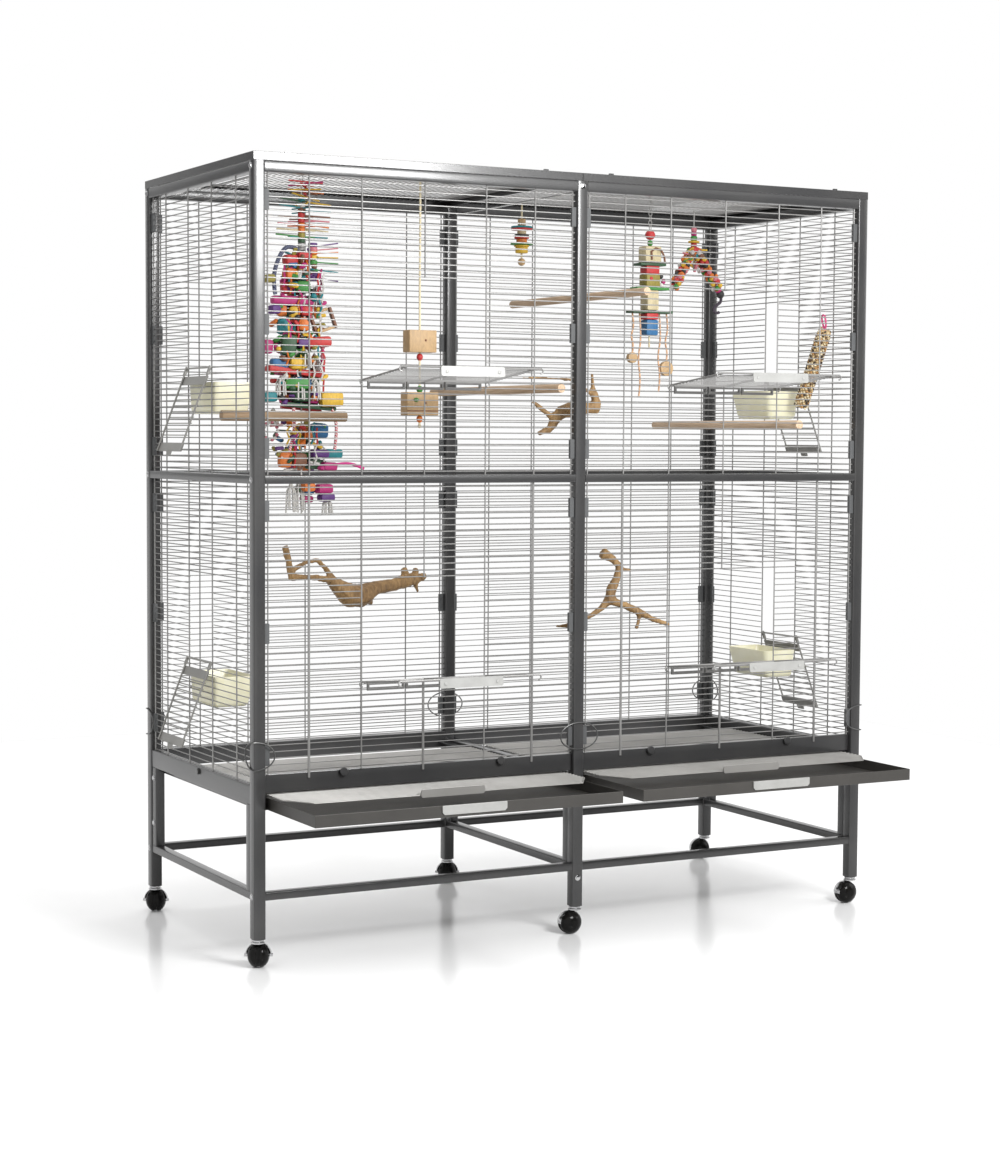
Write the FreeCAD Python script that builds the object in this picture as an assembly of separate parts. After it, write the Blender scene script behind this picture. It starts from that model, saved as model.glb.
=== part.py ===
import FreeCAD, Part
import math
import os

# Bird aviary on casters: tube frame, clipped wire panels, flaps, floor grates, trays and furnishings.
# Millimetres, +Z up, front towards -Y. Sizes count from the middle of the cage; the whole is moved back at
# the end so that the origin lies on the floor under the middle of its outline with the trays pulled out.

# Frame: outer size, square tube of the posts and tube walls
width = 1500.0
depth = 640.0
post = 25.0
tube_wall = 1.5
stand_shift = 104.5

# Heights, from the floor up
leg_bottom = 60.0
stretcher_bottom = 138.0
stretcher_height = 17.0
side_rail_bottom = 331.0
side_rail_height = 39.0
middle_rail_height = 21.0
front_rail_bottom = 356.0
front_rail_height = 37.0
lower_bay = 585.0
mid_rail_height = 17.0
upper_bay = 600.0
top_rail_height = 22.0
lid_height = 17.0

# Stand frames, set in from the outer faces of the posts
stand_set = 2.0
stand_tube = 21.0
upright = 25.0

# Roof lids: sheet rim with a wire infill, tie rod and thumb screws
lid_sheet = 1.5
lid_rim = 34.0
lid_seam = 1.0
roof_bars = 5
tie_rod_radius = 2.0
tie_rod_drop = 22.0
thumb_inset = 80.0
thumb_set = 18.0
thumb_radius = 6.0
thumb_height = 5.0

# Wire panels: thin row wires behind thick upright wires
row_pitch = 13.3
row_wire = 2.0
edge_wire = 3.0
panel_set = 6.5
panel_reach = 300.0
end_gap = 0.5
end_wire_inset = 8.0
inner_wire = 142.0
outer_wire = 258.0
side_inner_wire = 69.0
side_outer_wire = 206.0
stiff_reach = 252.7

# Openings of the panels, in rows from the panel's middle row
flap_low_row = -8
flap_high_row = 8
feeder_low_row = -6
feeder_high_row = 8

# Panel clips, lock rings, knobs, bolts and the hooks of the front panels
clip_height = 41.0
clip_width = 10.5
clip_sheet = 1.5
clip_reach = 246.0
ring_half_width = 47.0
ring_half_height = 30.0
ring_wire = 2.5
ring_facets = 4
knob_radius = 9.0
knob_disc = 5.0
knob_neck = 3.0
knob_offset = 182.0
knob_drop = 4.0
side_knob_radius = 7.0
side_knob_drop = 9.0
bolt_radius = 5.0
bolt_head = 3.0
upright_bolts = (207.0, 308.0)
leg_bolt = 123.0
hook_drop = 10.0
hook_play = 0.5
rail_gap = 1.5
hook_reach = 3.0

# Front landing flaps, hinged on their lower edge
flap_rod = 4.0
flap_play = 0.5
flap_half_width = 145.0
flap_tab = 12.0
flap_open = 84.0
handle_length = 142.0
handle_depth = 20.0
handle_sheet = 2.0
handle_corner = 5.0
hinge_plate_length = 84.0
hinge_plate_height = 16.0
hinge_plate_gap = 4.0
hinge_window_margin = 4.5
seat_gap = 0.3

# Side feeder flaps, folded out and hanging down
feeder_half_width = 72.0
feeder_open = 159.0
feeder_plate = 30.0
feeder_plate_start = 14.0
feeder_tab_width = 26.0
feeder_tab = 10.0

# Trays, grates and the runners that carry them
tray_side_gap = 10.75
tray_depth = 600.0
tray_height = 24.5
tray_wall = 1.5
tray_out_left = 225.0
tray_out_right = 231.0
runner_drop = 12.6
runner_sheet = 1.5
runner_flange = 20.0
run_gap = 0.3
grate_bar = 3.0
grate_side = 8.0
grate_out_left = 128.0
grate_out_right = 116.0
grate_corner_x = 40.0
grate_corner_y = 60.0
grate_handle_height = 16.0
tray_handle_height = 19.0
pull_length = 145.0
pull_sheet = 3.0

# Feeder cups
cup_width = 160.0
cup_depth = 90.0
cup_height = 66.0
cup_taper = 12.0
cup_wall = 2.5
cup_below_hinge = 30.0

# Straight perches from front to back: share of half the width, rise over the middle rails, radius
perch_rows = ((-0.056, 183.0, 9.5), (0.2267, 396.0, 9.0), (0.7693, 110.0, 10.0))

# Perch at the left side and seed stick at the right side
side_perch_place = 112.0
side_perch_rise = 120.0
side_perch_length = 282.0
side_perch_radius = 11.0
stick_radius = 15.0
stick_low_place = 112.0
stick_low_rise = 155.0
stick_high_place = 204.0
stick_high_rise = 331.0

# Root-wood perches: rise of their seats over the middle rails or the front base rails
post_root_upper_rise = 138.0
post_root_lower_rise = 295.0
back_root_rise = 348.0
back_root_place = 66.0
thin_limb = 11.0

# Limbs of the roots as points (x, y, z, radius) counted from the seat; the first limb ends in the seat
upper_root_limbs = (((20, 50, 3, 11), (9, 27, 1, 10), (0, 0, 0, 10)),
                    ((89, 55, 6, 14.8), (66, 55, 5, 12.6), (46, 55, 3, 14.8), (15, 55, 0, 16.9),
                     (-5, 55, -6, 16.2), (-17, 55, -18, 12.5)),
                    ((-17, 55, -14, 11.7), (-22, 57, -29, 11), (-32, 58, -42, 8.8), (-59, 60, -52, 5.9)),
                    ((-10, 55, -12, 10.3), (-34, 53, -13, 7.3), (-51, 51, -1, 6.6), (-79, 49, 18, 4.4)),
                    ((85, 55, 10, 11.9), (80, 56, 33, 8.9), (76, 57, 50, 5.2), (75, 58, 81, 4.1)),
                    ((78, 55, 28, 5.2), (45, 60, 57, 4.1), (21, 62, 67, 4.1), (-97, 66, 69, 2.8)))
lower_root_limbs = (((36, 56, -18, 6), (13, 28, -10, 7), (0, 0, 0, 8)),
                    ((103, 58, 133, 14.8), (129, 57, 120, 8.8), (147, 56, 103, 9.5), (141, 55, 76, 9.5),
                     (127, 55, 53, 12.2), (122, 55, 24, 14.9)),
                    ((143, 56, 97, 6.1), (176, 55, 93, 4.8)),
                    ((122, 55, 28, 10.8), (98, 55, 9, 7.4), (75, 55, -4, 6.1), (17, 57, -25, 6),
                     (-12, 58, -26, 4)),
                    ((116, 55, 29, 10.8), (157, 55, 18, 9.5), (201, 56, -1, 9.6), (234, 57, -17, 6.8),
                     (280, 58, -32, 5.5)),
                    ((201, 56, -1, 5.5), (196, 55, -25, 4.8), (190, 54, -38, 6.1)))
back_root_limbs = (((-310, -145, 14, 10.4), (-286, -134, -4, 18), (-247, -116, -30, 29), (-203, -95, -32, 28),
                    (-158, -74, -18, 17), (-103, -48, -14, 15), (-46, -22, -5, 17), (0, 0, 0, 12)),
                   ((-296, -139, 6, 9.7), (-347, -167, 16, 7.6), (-385, -184, 19, 6.8),
                    (-424, -199, 20, 9.5)),
                   ((-420, -197, 14, 9.5), (-429, -201, 52, 8.1), (-441, -206, 90, 8.8)),
                   ((-420, -197, 36, 6.8), (-375, -170, 51, 6.2), (-340, -153, 55, 6.2),
                    (-319, -146, 37, 6.2), (-284, -133, 2, 8.3)),
                   ((-56, -27, -5, 10), (-67, -33, 24, 9.5)),
                   ((-30, -16, -6, 9), (-27, -15, 22, 8.5)),
                   ((-30, -15, -14, 6), (-18, -10, -36, 4.5)),
                   ((-206, -96, -34, 15), (-171, -80, -52, 5.7)))

# Toys: cord, hook and the places of the hooks (share of half the width, distance in front of the middle)
cord = 5.0
hook_width = 16.0
hook_tip = 1.6
hook_height = 4.0
toy_places = {"stick_tower": (-0.696, 40.0), "wood_blocks": (-0.41867, 179.0), "disc_stack": (0.0, 49.0),
              "plank_tiers": (0.37467, 147.0), "bead_loops": (0.816, -187.0)}

# Stick tower: core, then sticks as (drop, left, right) and tiers as (drop, height, left, right, half depth)
tower_core = 15.0
tower_core_drop = 49.0
tower_length = 723.0
tower_stick = 4.0
tower_sticks = ((55, 45, 56), (68, 50, 65), (89, 53, 50), (105, 30, 60),
                (116, 48, 62), (129, 57, 68), (148, 7.5, 76), (161, 7.5, 70),
                (174, 7.5, 72), (185, 7.5, 78), (202, 7.5, 82), (218, 7.5, 78))
tower_tiers = ((166, 40, 48, 0, 36), (208, 22, 89, 0, 20), (232, 22, 50, 25, 40),
               (256, 20, 70, 23, 34), (278, 19, 81, 30, 42), (299, 28, 53, 75, 30),
               (329, 10, 60, 40, 45), (341, 24, 50, 60, 26), (367, 18, 88, 51, 30),
               (388, 20, 75, 46, 44), (410, 14, 85, 49, 24), (428, 26, 60, 50, 45),
               (457, 26, 88, 90, 28), (486, 9, 48, 77, 36), (526, 32, 20, 61, 22),
               (581, 18, 18, 94, 20), (602, 22, 57, 44, 26), (656, 36, 34, 75, 18),
               (694, 29, 30, 60, 12))

# The other toys, from the hook down: size and height of each piece
blocks_pieces = ((5, 5, 324), (64, 34, 48), (14, 14, 20), (5, 5, 51), (13, 13, 12),
                 (74, 34, 50), (13, 13, 15), (5, 5, 18))
disc_pieces = ((2.5, 34), (9, 16), (25, 9), (11, 9), (22, 10), (11, 9), (26, 9),
               (10, 14), (2.5, 10), (9, 18))
tier_pieces = ((5, 5, 84), (24, 24, 22), (13, 13, 14), (46, 34, 38), (84, 34, 6),
               (30, 30, 18), (44, 34, 30), (98, 34, 6), (38, 34, 46), (126, 34, 6),
               (30, 30, 14), (30, 30, 36), (5, 5, 26))
strip_pieces = ((-53, 92, 16), (-30, 186, 0), (30, 176, 0), (53, 112, 22))
strip_width = 4.0
strip_depth = 8.0
slice_width = 30.0
slice_depth = 12.0
loop_pieces = ((5.0, 74.0), (12.0, 18.0), (14.0, 20.0), (26.0, 26.0))
loop_bead = 11.0
loop_bead_depth = 14.0
loop_bead_height = 20.0
loop_bead_drop = 7.0
loop_first_drop = 5.0
tail_cord = 6.0
tail_length = 40.0
tail_ball = 18.0

# Casters: ball wheel in a bowed chrome hood on a stem
wheel_radius = 25.0
wheel_half_width = 22.0
wheel_tread = 10.0
wheel_side_radius = 15.0
wheel_facets = 16
hood_facets = 8
hood_gap = 0.8
hood_sheet = 2.0
hood_width = 18.0
collar_radius = 13.0
stem_length = 25.0
axle_radius = 3.0
axle_depth = 4.0
caster_trail = 12.0
caster_headings = {"front_left": 62.0, "front_middle": 180.0, "front_right": 180.0,
                   "back_left": 62.0, "back_middle": 62.0, "back_right": 152.0}

# Values that follow from the sizes above
half_w = width / 2
half_d = depth / 2
front_rail_top = front_rail_bottom + front_rail_height
side_rail_top = side_rail_bottom + side_rail_height
mid_bottom = front_rail_top + lower_bay
mid_top = mid_bottom + mid_rail_height
top_bottom = mid_top + upper_bay
lid_bottom = top_bottom + top_rail_height
lid_top = lid_bottom + lid_height
tie_rod_height = lid_bottom - tie_rod_drop
stretcher_top = stretcher_bottom + stretcher_height
upper_middle = top_bottom - panel_reach
lower_middle = mid_bottom - panel_reach
row_front = panel_set + edge_wire
row_back = row_front + row_wire
rows_up = int((panel_reach - row_wire / 2) / row_pitch)
stiff_row = round(stiff_reach / row_pitch)
front_rail_set = row_front + rail_gap
left_bay = (-half_w + post, -post / 2)
right_bay = (post / 2, half_w - post)
side_bay = (-half_d + post, half_d - post)
bay_middle = (right_bay[0] + right_bay[1]) / 2
post_places = {
    "front_left": (-half_w + post / 2, -half_d + post / 2), "front_middle": (0.0, -half_d + post / 2),
    "front_right": (half_w - post / 2, -half_d + post / 2),
    "back_left": (-half_w + post / 2, half_d - post / 2),
    "back_middle": (0.0, half_d - post / 2), "back_right": (half_w - post / 2, half_d - post / 2)}
vec = FreeCAD.Vector


def box(x0, x1, y0, y1, z0, z1):
    return Part.makeBox(x1 - x0, y1 - y0, z1 - z0, vec(x0, y0, z0))


def tube(x0, x1, y0, y1, z0, z1, along):
    inner = [x0, x1, y0, y1, z0, z1]
    for axis in range(3):
        step = tube_wall if axis != along else -tube_wall
        inner[2 * axis] += step
        inner[2 * axis + 1] -= step
    return box(x0, x1, y0, y1, z0, z1).cut(box(*inner))


# A box on one wall: u runs along the wall, o is the distance in from the posts' outer faces
def wall_box(side, u0, u1, o0, o1, z0, z1):
    if side == "front":
        return box(u0, u1, -half_d + o0, -half_d + o1, z0, z1)
    if side == "back":
        return box(u0, u1, half_d - o1, half_d - o0, z0, z1)
    if side == "left":
        return box(-half_w + o0, -half_w + o1, u0, u1, z0, z1)
    return box(half_w - o1, half_w - o0, u0, u1, z0, z1)


# Corners of a regular polygon about a centre
def ring_corners(centre, first, second, radius, count):
    points = []
    for i in range(count):
        a = 2 * math.pi * (i + 0.5) / count
        points.append(centre + first * (radius * math.cos(a)) + second * (radius * math.sin(a)))
    return points


def ngon(centre, first, second, radius, count):
    points = ring_corners(centre, first, second, radius, count)
    return Part.makePolygon(points + points[:1])


def prism(points, direction):
    corners = [vec(*p) for p in points]
    return Part.Face(Part.makePolygon(corners + corners[:1])).extrude(vec(*direction))


# A fine wire along a wall: its flat back lies at o0, its ridge at o1
def wall_wire(side, u0, u1, o0, o1, z, half):
    profile = ((o0, z - half), (o0, z + half), (o1, z))
    if side in ("front", "back"):
        face = -half_d if side == "front" else half_d
        inward = 1 if side == "front" else -1
        return prism([(u0, face + inward * o, h) for o, h in profile], (u1 - u0, 0, 0))
    face = -half_w if side == "left" else half_w
    inward = 1 if side == "left" else -1
    return prism([(face + inward * o, u0, h) for o, h in profile], (0, u1 - u0, 0))


# A plate in the plane of a wall, with an outline in u and z
def wall_plate(side, outline, o0, o1):
    if side in ("front", "back"):
        face = -half_d if side == "front" else half_d
        inward = 1 if side == "front" else -1
        return prism([(u, face + inward * o0, z) for u, z in outline], (0, inward * (o1 - o0), 0))
    face = -half_w if side == "left" else half_w
    inward = 1 if side == "left" else -1
    return prism([(face + inward * o0, u, z) for u, z in outline], (inward * (o1 - o0), 0, 0))


# A closed solid over matching rings of corners, with flat quads or triangles between them
def skin(rings, quads):
    faces = [rings[0], rings[-1]]
    for low, high in zip(rings, rings[1:]):
        for i in range(len(low)):
            j = (i + 1) % len(low)
            if quads:
                faces.append([low[i], low[j], high[j], high[i]])
            else:
                faces.append([low[i], low[j], high[j]])
                faces.append([low[i], high[j], high[i]])
    shell = Part.makeShell([Part.Face(Part.makePolygon(f + f[:1])) for f in faces])
    shell.sewShape()
    solid = Part.makeSolid(shell)
    if solid.Volume < 0:
        solid.reverse()
    return solid


# A straight rod of regular section, with the given distance from axis to flats
def rod(start, end, apothem, count=8):
    axis = (end - start).normalize()
    side = axis.cross(vec(0, 0, 1)) if abs(axis.z) < 0.9 else axis.cross(vec(0, 1, 0))
    side.normalize()
    face = Part.Face(ngon(start, side, axis.cross(side), apothem / math.cos(math.pi / count), count))
    return face.extrude(end - start)


# A crooked branch through points with a radius at each; a seat is the direction that its last end faces
def branch(points, radii, seat, sides):
    rings = []
    for i, point in enumerate(points):
        along = points[min(i + 1, len(points) - 1)] - points[max(i - 1, 0)]
        if seat is not None and i == len(points) - 1:
            along = vec(seat)
        along.normalize()
        side = along.cross(vec(0.55, 0.28, 0.79))
        side.normalize()
        rings.append(ring_corners(point, side, along.cross(side), radii[i], sides))
    return skin(rings, False)


# A flat plate with its two corners at the far edge cut off; it lies in the plane of across and out
def cut_corner_plate(origin, across, out, thick, length, reach, corner):
    outline = [(-length / 2, 0), (length / 2, 0), (length / 2, reach - corner),
               (length / 2 - corner, reach), (-length / 2 + corner, reach), (-length / 2, reach - corner)]
    corners = [origin + across * a + out * b for a, b in outline]
    return Part.Face(Part.makePolygon(corners + corners[:1])).extrude(thick)


def save(name, solids):
    for solid in solids:
        solid.translate(vec(0, stand_shift, 0))
    shape = solids[0] if len(solids) == 1 else Part.makeCompound(solids)
    shape.exportStep("parts/" + name + ".step")


os.makedirs("parts", exist_ok=True)

# Posts: open tubes from the casters to the lids
posts = []
for px, py in post_places.values():
    posts.append(tube(px - post / 2, px + post / 2, py - post / 2, py + post / 2, leg_bottom, lid_bottom, 2))
save("frame_posts", posts)


# Rails of one level all round, between the posts
def rail_ring(z0, z1):
    ring = []
    for y0 in (-half_d, half_d - post):
        for x0, x1 in (left_bay, right_bay):
            ring.append(tube(x0, x1, y0, y0 + post, z0, z1, 0))
    for x0 in (-half_w, half_w - post):
        ring.append(tube(x0, x0 + post, side_bay[0], side_bay[1], z0, z1, 1))
    return ring


save("top_rails", rail_ring(top_bottom, lid_bottom))
save("mid_rails", rail_ring(mid_bottom, mid_top))

# Base rails: the front ones are slotted for the hooks of the panels above them
hook_z = front_rail_top - hook_drop
hook_places = (-outer_wire, 0.0, outer_wire)
base_rails = []
for x0, x1 in (left_bay, right_bay):
    rail = tube(x0, x1, -half_d + front_rail_set, -half_d + post, front_rail_bottom, front_rail_top, 0)
    half_slot = edge_wire / 2 + hook_play
    for place in hook_places:
        u = (x0 + x1) / 2 + place
        rail = rail.cut(wall_box("front", u - half_slot, u + half_slot, front_rail_set,
                                 front_rail_set + tube_wall, hook_z - half_slot, hook_z + half_slot))
    base_rails.append(rail)
    base_rails.append(tube(x0, x1, half_d - post, half_d, side_rail_bottom, side_rail_top, 0))
save("base_rails", base_rails)

# Stand frames: base rail, stretcher and two uprights each
tray_bottom = side_rail_bottom - runner_drop + runner_sheet + run_gap
tray_top = tray_bottom + tray_height
grate_bottom = tray_top + 2 * run_gap + runner_sheet
stand_inner = half_w - stand_set - stand_tube
tray_width = stand_inner - stand_tube / 2 - 2 * (runner_sheet + tray_side_gap)
stand_frames = []
for x0, rail_height in ((-half_w + stand_set, side_rail_height), (-stand_tube / 2, middle_rail_height),
                        (stand_inner, side_rail_height)):
    x1 = x0 + stand_tube
    stand_frames.append(tube(x0, x1, *side_bay, side_rail_bottom, side_rail_bottom + rail_height, 1))
    stand_frames.append(tube(x0, x1, *side_bay, stretcher_bottom, stretcher_top, 1))
    for y0 in (side_bay[0], side_bay[1] - upright):
        stand_frames.append(tube(x0, x1, y0, y0 + upright, stretcher_top, side_rail_bottom, 2))
save("stand_frames", stand_frames)

# Folded runners on the stand frames, each with a flange under the tray and one under the grate
runners = []
runner_low = side_rail_bottom - runner_drop
runner_high = grate_bottom - run_gap
for face, inward in ((-stand_inner, 1), (-stand_tube / 2, -1), (stand_tube / 2, 1), (stand_inner, -1)):
    web = face + inward * runner_sheet
    tip = web + inward * runner_flange
    profile = [(face, runner_low), (tip, runner_low), (tip, runner_low + runner_sheet),
               (web, runner_low + runner_sheet), (web, runner_high - runner_sheet),
               (tip, runner_high - runner_sheet), (tip, runner_high), (face, runner_high)]
    runners.append(prism([(x, side_bay[0], z) for x, z in profile], (0, side_bay[1] - side_bay[0], 0)))
save("tray_runners", runners)

# Stretchers along the front and back
stretchers = []
for side in ("front", "back"):
    for u0, u1 in (left_bay, right_bay):
        bar = wall_box(side, u0, u1, stand_set, stand_set + stand_tube, stretcher_bottom, stretcher_top)
        bore = wall_box(side, u0, u1, stand_set + tube_wall, stand_set + stand_tube - tube_wall,
                        stretcher_bottom + tube_wall, stretcher_top - tube_wall)
        stretchers.append(bar.cut(bore))
save("stand_stretchers", stretchers)

# Tie rod under the roof, between the middle posts
rod_ends = [vec(0, y, tie_rod_height) for y in side_bay]
save("tie_rod", [rod(*rod_ends, tie_rod_radius)])

# Roof lids: folded sheet rims that stand on the posts and top rails
lids = []
roof_wires = []
wire_places = []
for x0, x1 in ((-half_w, -lid_seam / 2), (lid_seam / 2, half_w)):
    lid = box(x0, x1, -half_d, half_d, lid_bottom, lid_top)
    lid = lid.cut(box(x0 + lid_sheet, x1 - lid_sheet, -half_d + lid_sheet, half_d - lid_sheet,
                      lid_bottom, lid_top - lid_sheet))
    lid = lid.cut(box(x0 + lid_rim, x1 - lid_rim, -half_d + lid_rim, half_d - lid_rim,
                      lid_top - lid_sheet, lid_top))
    lids.append(lid)
    # Wire infill under the rim: bars along X carry close wires along Y
    bar_top = lid_top - lid_sheet
    inner_x = (x0 + 2 * lid_sheet, x1 - 2 * lid_sheet)
    inner_y = half_d - 2 * lid_sheet
    for i in range(roof_bars):
        y = (2 * i / (roof_bars - 1) - 1) * (inner_y - lid_rim / 2)
        roof_wires.append(box(*inner_x, y - edge_wire / 2, y + edge_wire / 2, bar_top - edge_wire, bar_top))
    count = int((inner_x[1] - inner_x[0]) / row_pitch)
    first = (inner_x[0] + inner_x[1] - count * row_pitch) / 2
    for i in range(count + 1):
        x = first + i * row_pitch
        wire_places.append(x)
        wire_top = bar_top - edge_wire
        half = row_wire / 2
        roof_wires.append(prism([(x - half, -inner_y, wire_top), (x + half, -inner_y, wire_top),
                                 (x, -inner_y, wire_top - row_wire)], (0, 2 * inner_y, 0)))
save("roof_lids", lids)
save("roof_meshes", roof_wires)
roof_under = lid_top - lid_sheet - edge_wire - row_wire

# Thumb screws on the front rims of the lids
screws = []
for x in (-half_w + thumb_inset, -thumb_inset, thumb_inset, half_w - thumb_inset):
    foot = vec(x, -half_d + thumb_set, lid_top)
    screws.append(rod(foot, foot + vec(0, 0, thumb_height), thumb_radius))
save("thumb_screws", screws)


# One wire panel: rows from low to high about the middle row, uprights from bottom to top
def panel(side, bay, middle, rows, bottom, top, uprights, opening=None):
    u0 = bay[0] + end_gap
    u1 = bay[1] - end_gap
    centre = (u0 + u1) / 2
    wires = []
    for k in range(rows[0], rows[1] + 1):
        z = middle + k * row_pitch
        stiff = abs(k) == stiff_row or (opening is not None and k in opening[1:])
        half = (edge_wire if stiff else row_wire) / 2
        spans = [(u0, u1)]
        if opening is not None and opening[1] < k < opening[2]:
            half_open = opening[0] + edge_wire / 2
            spans = [(u0, centre - half_open), (centre + half_open, u1)]
        for a, b in spans:
            wires.append(wall_wire(side, a, b, row_front, row_back, z, half))
    for place in uprights:
        u = centre + place
        spans = [(bottom, top)]
        if opening is not None and abs(place) < opening[0]:
            edge = edge_wire / 2
            spans = [(bottom, middle + opening[1] * row_pitch + edge),
                     (middle + opening[2] * row_pitch - edge, top)]
        for a, b in spans:
            wires.append(wall_box(side, u - edge_wire / 2, u + edge_wire / 2, panel_set, row_front, a, b))
    return wires


long_end = (right_bay[1] - right_bay[0]) / 2 - end_wire_inset
short_end = (side_bay[1] - side_bay[0]) / 2 - end_wire_inset
long_uprights = (-long_end, -outer_wire, -inner_wire, 0.0, inner_wire, outer_wire, long_end)
short_uprights = (-short_end, -side_outer_wire, -side_inner_wire, side_inner_wire, side_outer_wire, short_end)
flap_opening = (inner_wire, flap_low_row, flap_high_row)
feeder_opening = (side_inner_wire, feeder_low_row, feeder_high_row)
full_rows = (-rows_up, rows_up)
front_low_rows = (-int((lower_middle - front_rail_top - row_wire) / row_pitch), rows_up)
side_low_rows = (-int((lower_middle - side_rail_top - row_wire / 2) / row_pitch), rows_up)

# Front panels: the lower ones hang with three hooks in the slots of the base rail
front_upper = []
front_lower = []
back_wires = []
for bay in (left_bay, right_bay):
    front_upper += panel("front", bay, upper_middle, full_rows, mid_top, top_bottom,
                         long_uprights, flap_opening)
    front_lower += panel("front", bay, lower_middle, front_low_rows, front_rail_top, mid_bottom,
                         long_uprights, flap_opening)
    for place in hook_places:
        u = (bay[0] + bay[1]) / 2 + place
        half = edge_wire / 2
        leg = wall_box("front", u - half, u + half, panel_set, row_front, hook_z - half, front_rail_top)
        toe = wall_box("front", u - half, u + half, row_front, front_rail_set + hook_reach,
                       hook_z - half, hook_z + half)
        front_lower.append(leg.fuse(toe).removeSplitter())
    back_wires += panel("back", bay, upper_middle, full_rows, mid_top, top_bottom, long_uprights)
    back_wires += panel("back", bay, lower_middle, side_low_rows, side_rail_top, mid_bottom, long_uprights)
save("front_panels_upper", front_upper)
save("front_panels_lower", front_lower)
save("back_panels", back_wires)

# Side panels
for side in ("left", "right"):
    wires = panel(side, side_bay, upper_middle, full_rows, mid_top, top_bottom,
                  short_uprights, feeder_opening)
    wires += panel(side, side_bay, lower_middle, side_low_rows, side_rail_top, mid_bottom,
                   short_uprights, feeder_opening)
    save(side + "_panels", wires)

# Panel clips on both sides of every post, behind the ends of the row wires
clips = []
for middle in (upper_middle, lower_middle):
    for z in (middle - clip_reach, middle, middle + clip_reach):
        z0 = z - clip_height / 2
        z1 = z + clip_height / 2
        for side, bays in (("front", (left_bay, right_bay)), ("back", (left_bay, right_bay)),
                           ("left", (side_bay,)), ("right", (side_bay,))):
            for u0, u1 in bays:
                clips.append(wall_box(side, u0, u0 + clip_width, row_back, row_back + clip_sheet, z0, z1))
                clips.append(wall_box(side, u1 - clip_width, u1, row_back, row_back + clip_sheet, z0, z1))
save("panel_clips", clips)

# Wire lock rings: ovals on the outer faces of the posts over the lowest clips, bent round the corners
ring_low = lower_middle - clip_reach


# Half of an oval in the plane of a wall, from a straight end at u = start towards u = start + sign * reach
def half_oval(side, corner, sign, overrun):
    turns = [math.pi * (i / ring_facets - 0.5) for i in range(ring_facets + 1)]
    outline = [(-overrun, -ring_half_height)]
    outline += [(ring_half_width * math.cos(a), ring_half_height * math.sin(a)) for a in turns]
    outline += [(-overrun, ring_half_height), (-overrun, ring_half_height - ring_wire)]
    outline += [((ring_half_width - ring_wire) * math.cos(a), (ring_half_height - ring_wire) * math.sin(a))
                for a in reversed(turns)]
    outline += [(-overrun, ring_wire - ring_half_height)]
    points = [(corner + sign * u, ring_low + z) for u, z in outline]
    return wall_plate(side, points, -seat_gap - ring_wire, -seat_gap)


rings = []
for px, py in post_places.values():
    face = "front" if py < 0 else "back"
    if px:
        hand = "left" if px < 0 else "right"
        along = half_oval(face, math.copysign(half_w, px), -math.copysign(1, px), seat_gap + ring_wire)
        beside = half_oval(hand, math.copysign(half_d, py), -math.copysign(1, py), seat_gap)
        rings.append(along.fuse(beside).removeSplitter())
    else:
        rings.append(half_oval(face, 0.0, 1, seat_gap).fuse(half_oval(face, 0.0, -1, 0.0)).removeSplitter())
save("lock_rings", rings)

# Knobs on the front base rails and on the side rails
knobs = []
for middle in (-bay_middle, bay_middle):
    for offset in (-knob_offset, knob_offset):
        root = vec(middle + offset, -half_d + front_rail_set, front_rail_top - knob_drop)
        neck = root + vec(0, -knob_neck, 0)
        disc = rod(neck, neck + vec(0, -knob_disc, 0), knob_radius, 12)
        knobs.append(rod(root, neck, knob_neck).fuse(disc))
for out in (-1, 1):
    root = vec(out * (half_w - stand_set), 0, side_rail_top - side_knob_drop)
    knobs.append(rod(root, root + vec(out * knob_disc, 0, 0), side_knob_radius))
save("rail_knobs", knobs)

# Hexagon bolt heads on posts and uprights
bolts = []
for px, py in post_places.values():
    out = vec(math.copysign(1, px), 0, 0) if px else vec(0, math.copysign(1, py), 0)
    face = vec(px, py, 0) + out * (post / 2)
    low = (stretcher_bottom + stretcher_top) / 2 if px else leg_bolt
    for z in (low, (top_bottom + lid_bottom) / 2):
        bolts.append(rod(face + vec(0, 0, z), face + vec(0, 0, z) + out * bolt_head, bolt_radius, 6))
for out in (-1, 1):
    for z in upright_bolts:
        face = vec(out * (half_w - stand_set), side_bay[1] - upright / 2, z)
        bolts.append(rod(face, face + vec(out * bolt_head, 0, 0), bolt_radius, 6))
save("frame_bolts", bolts)

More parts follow.
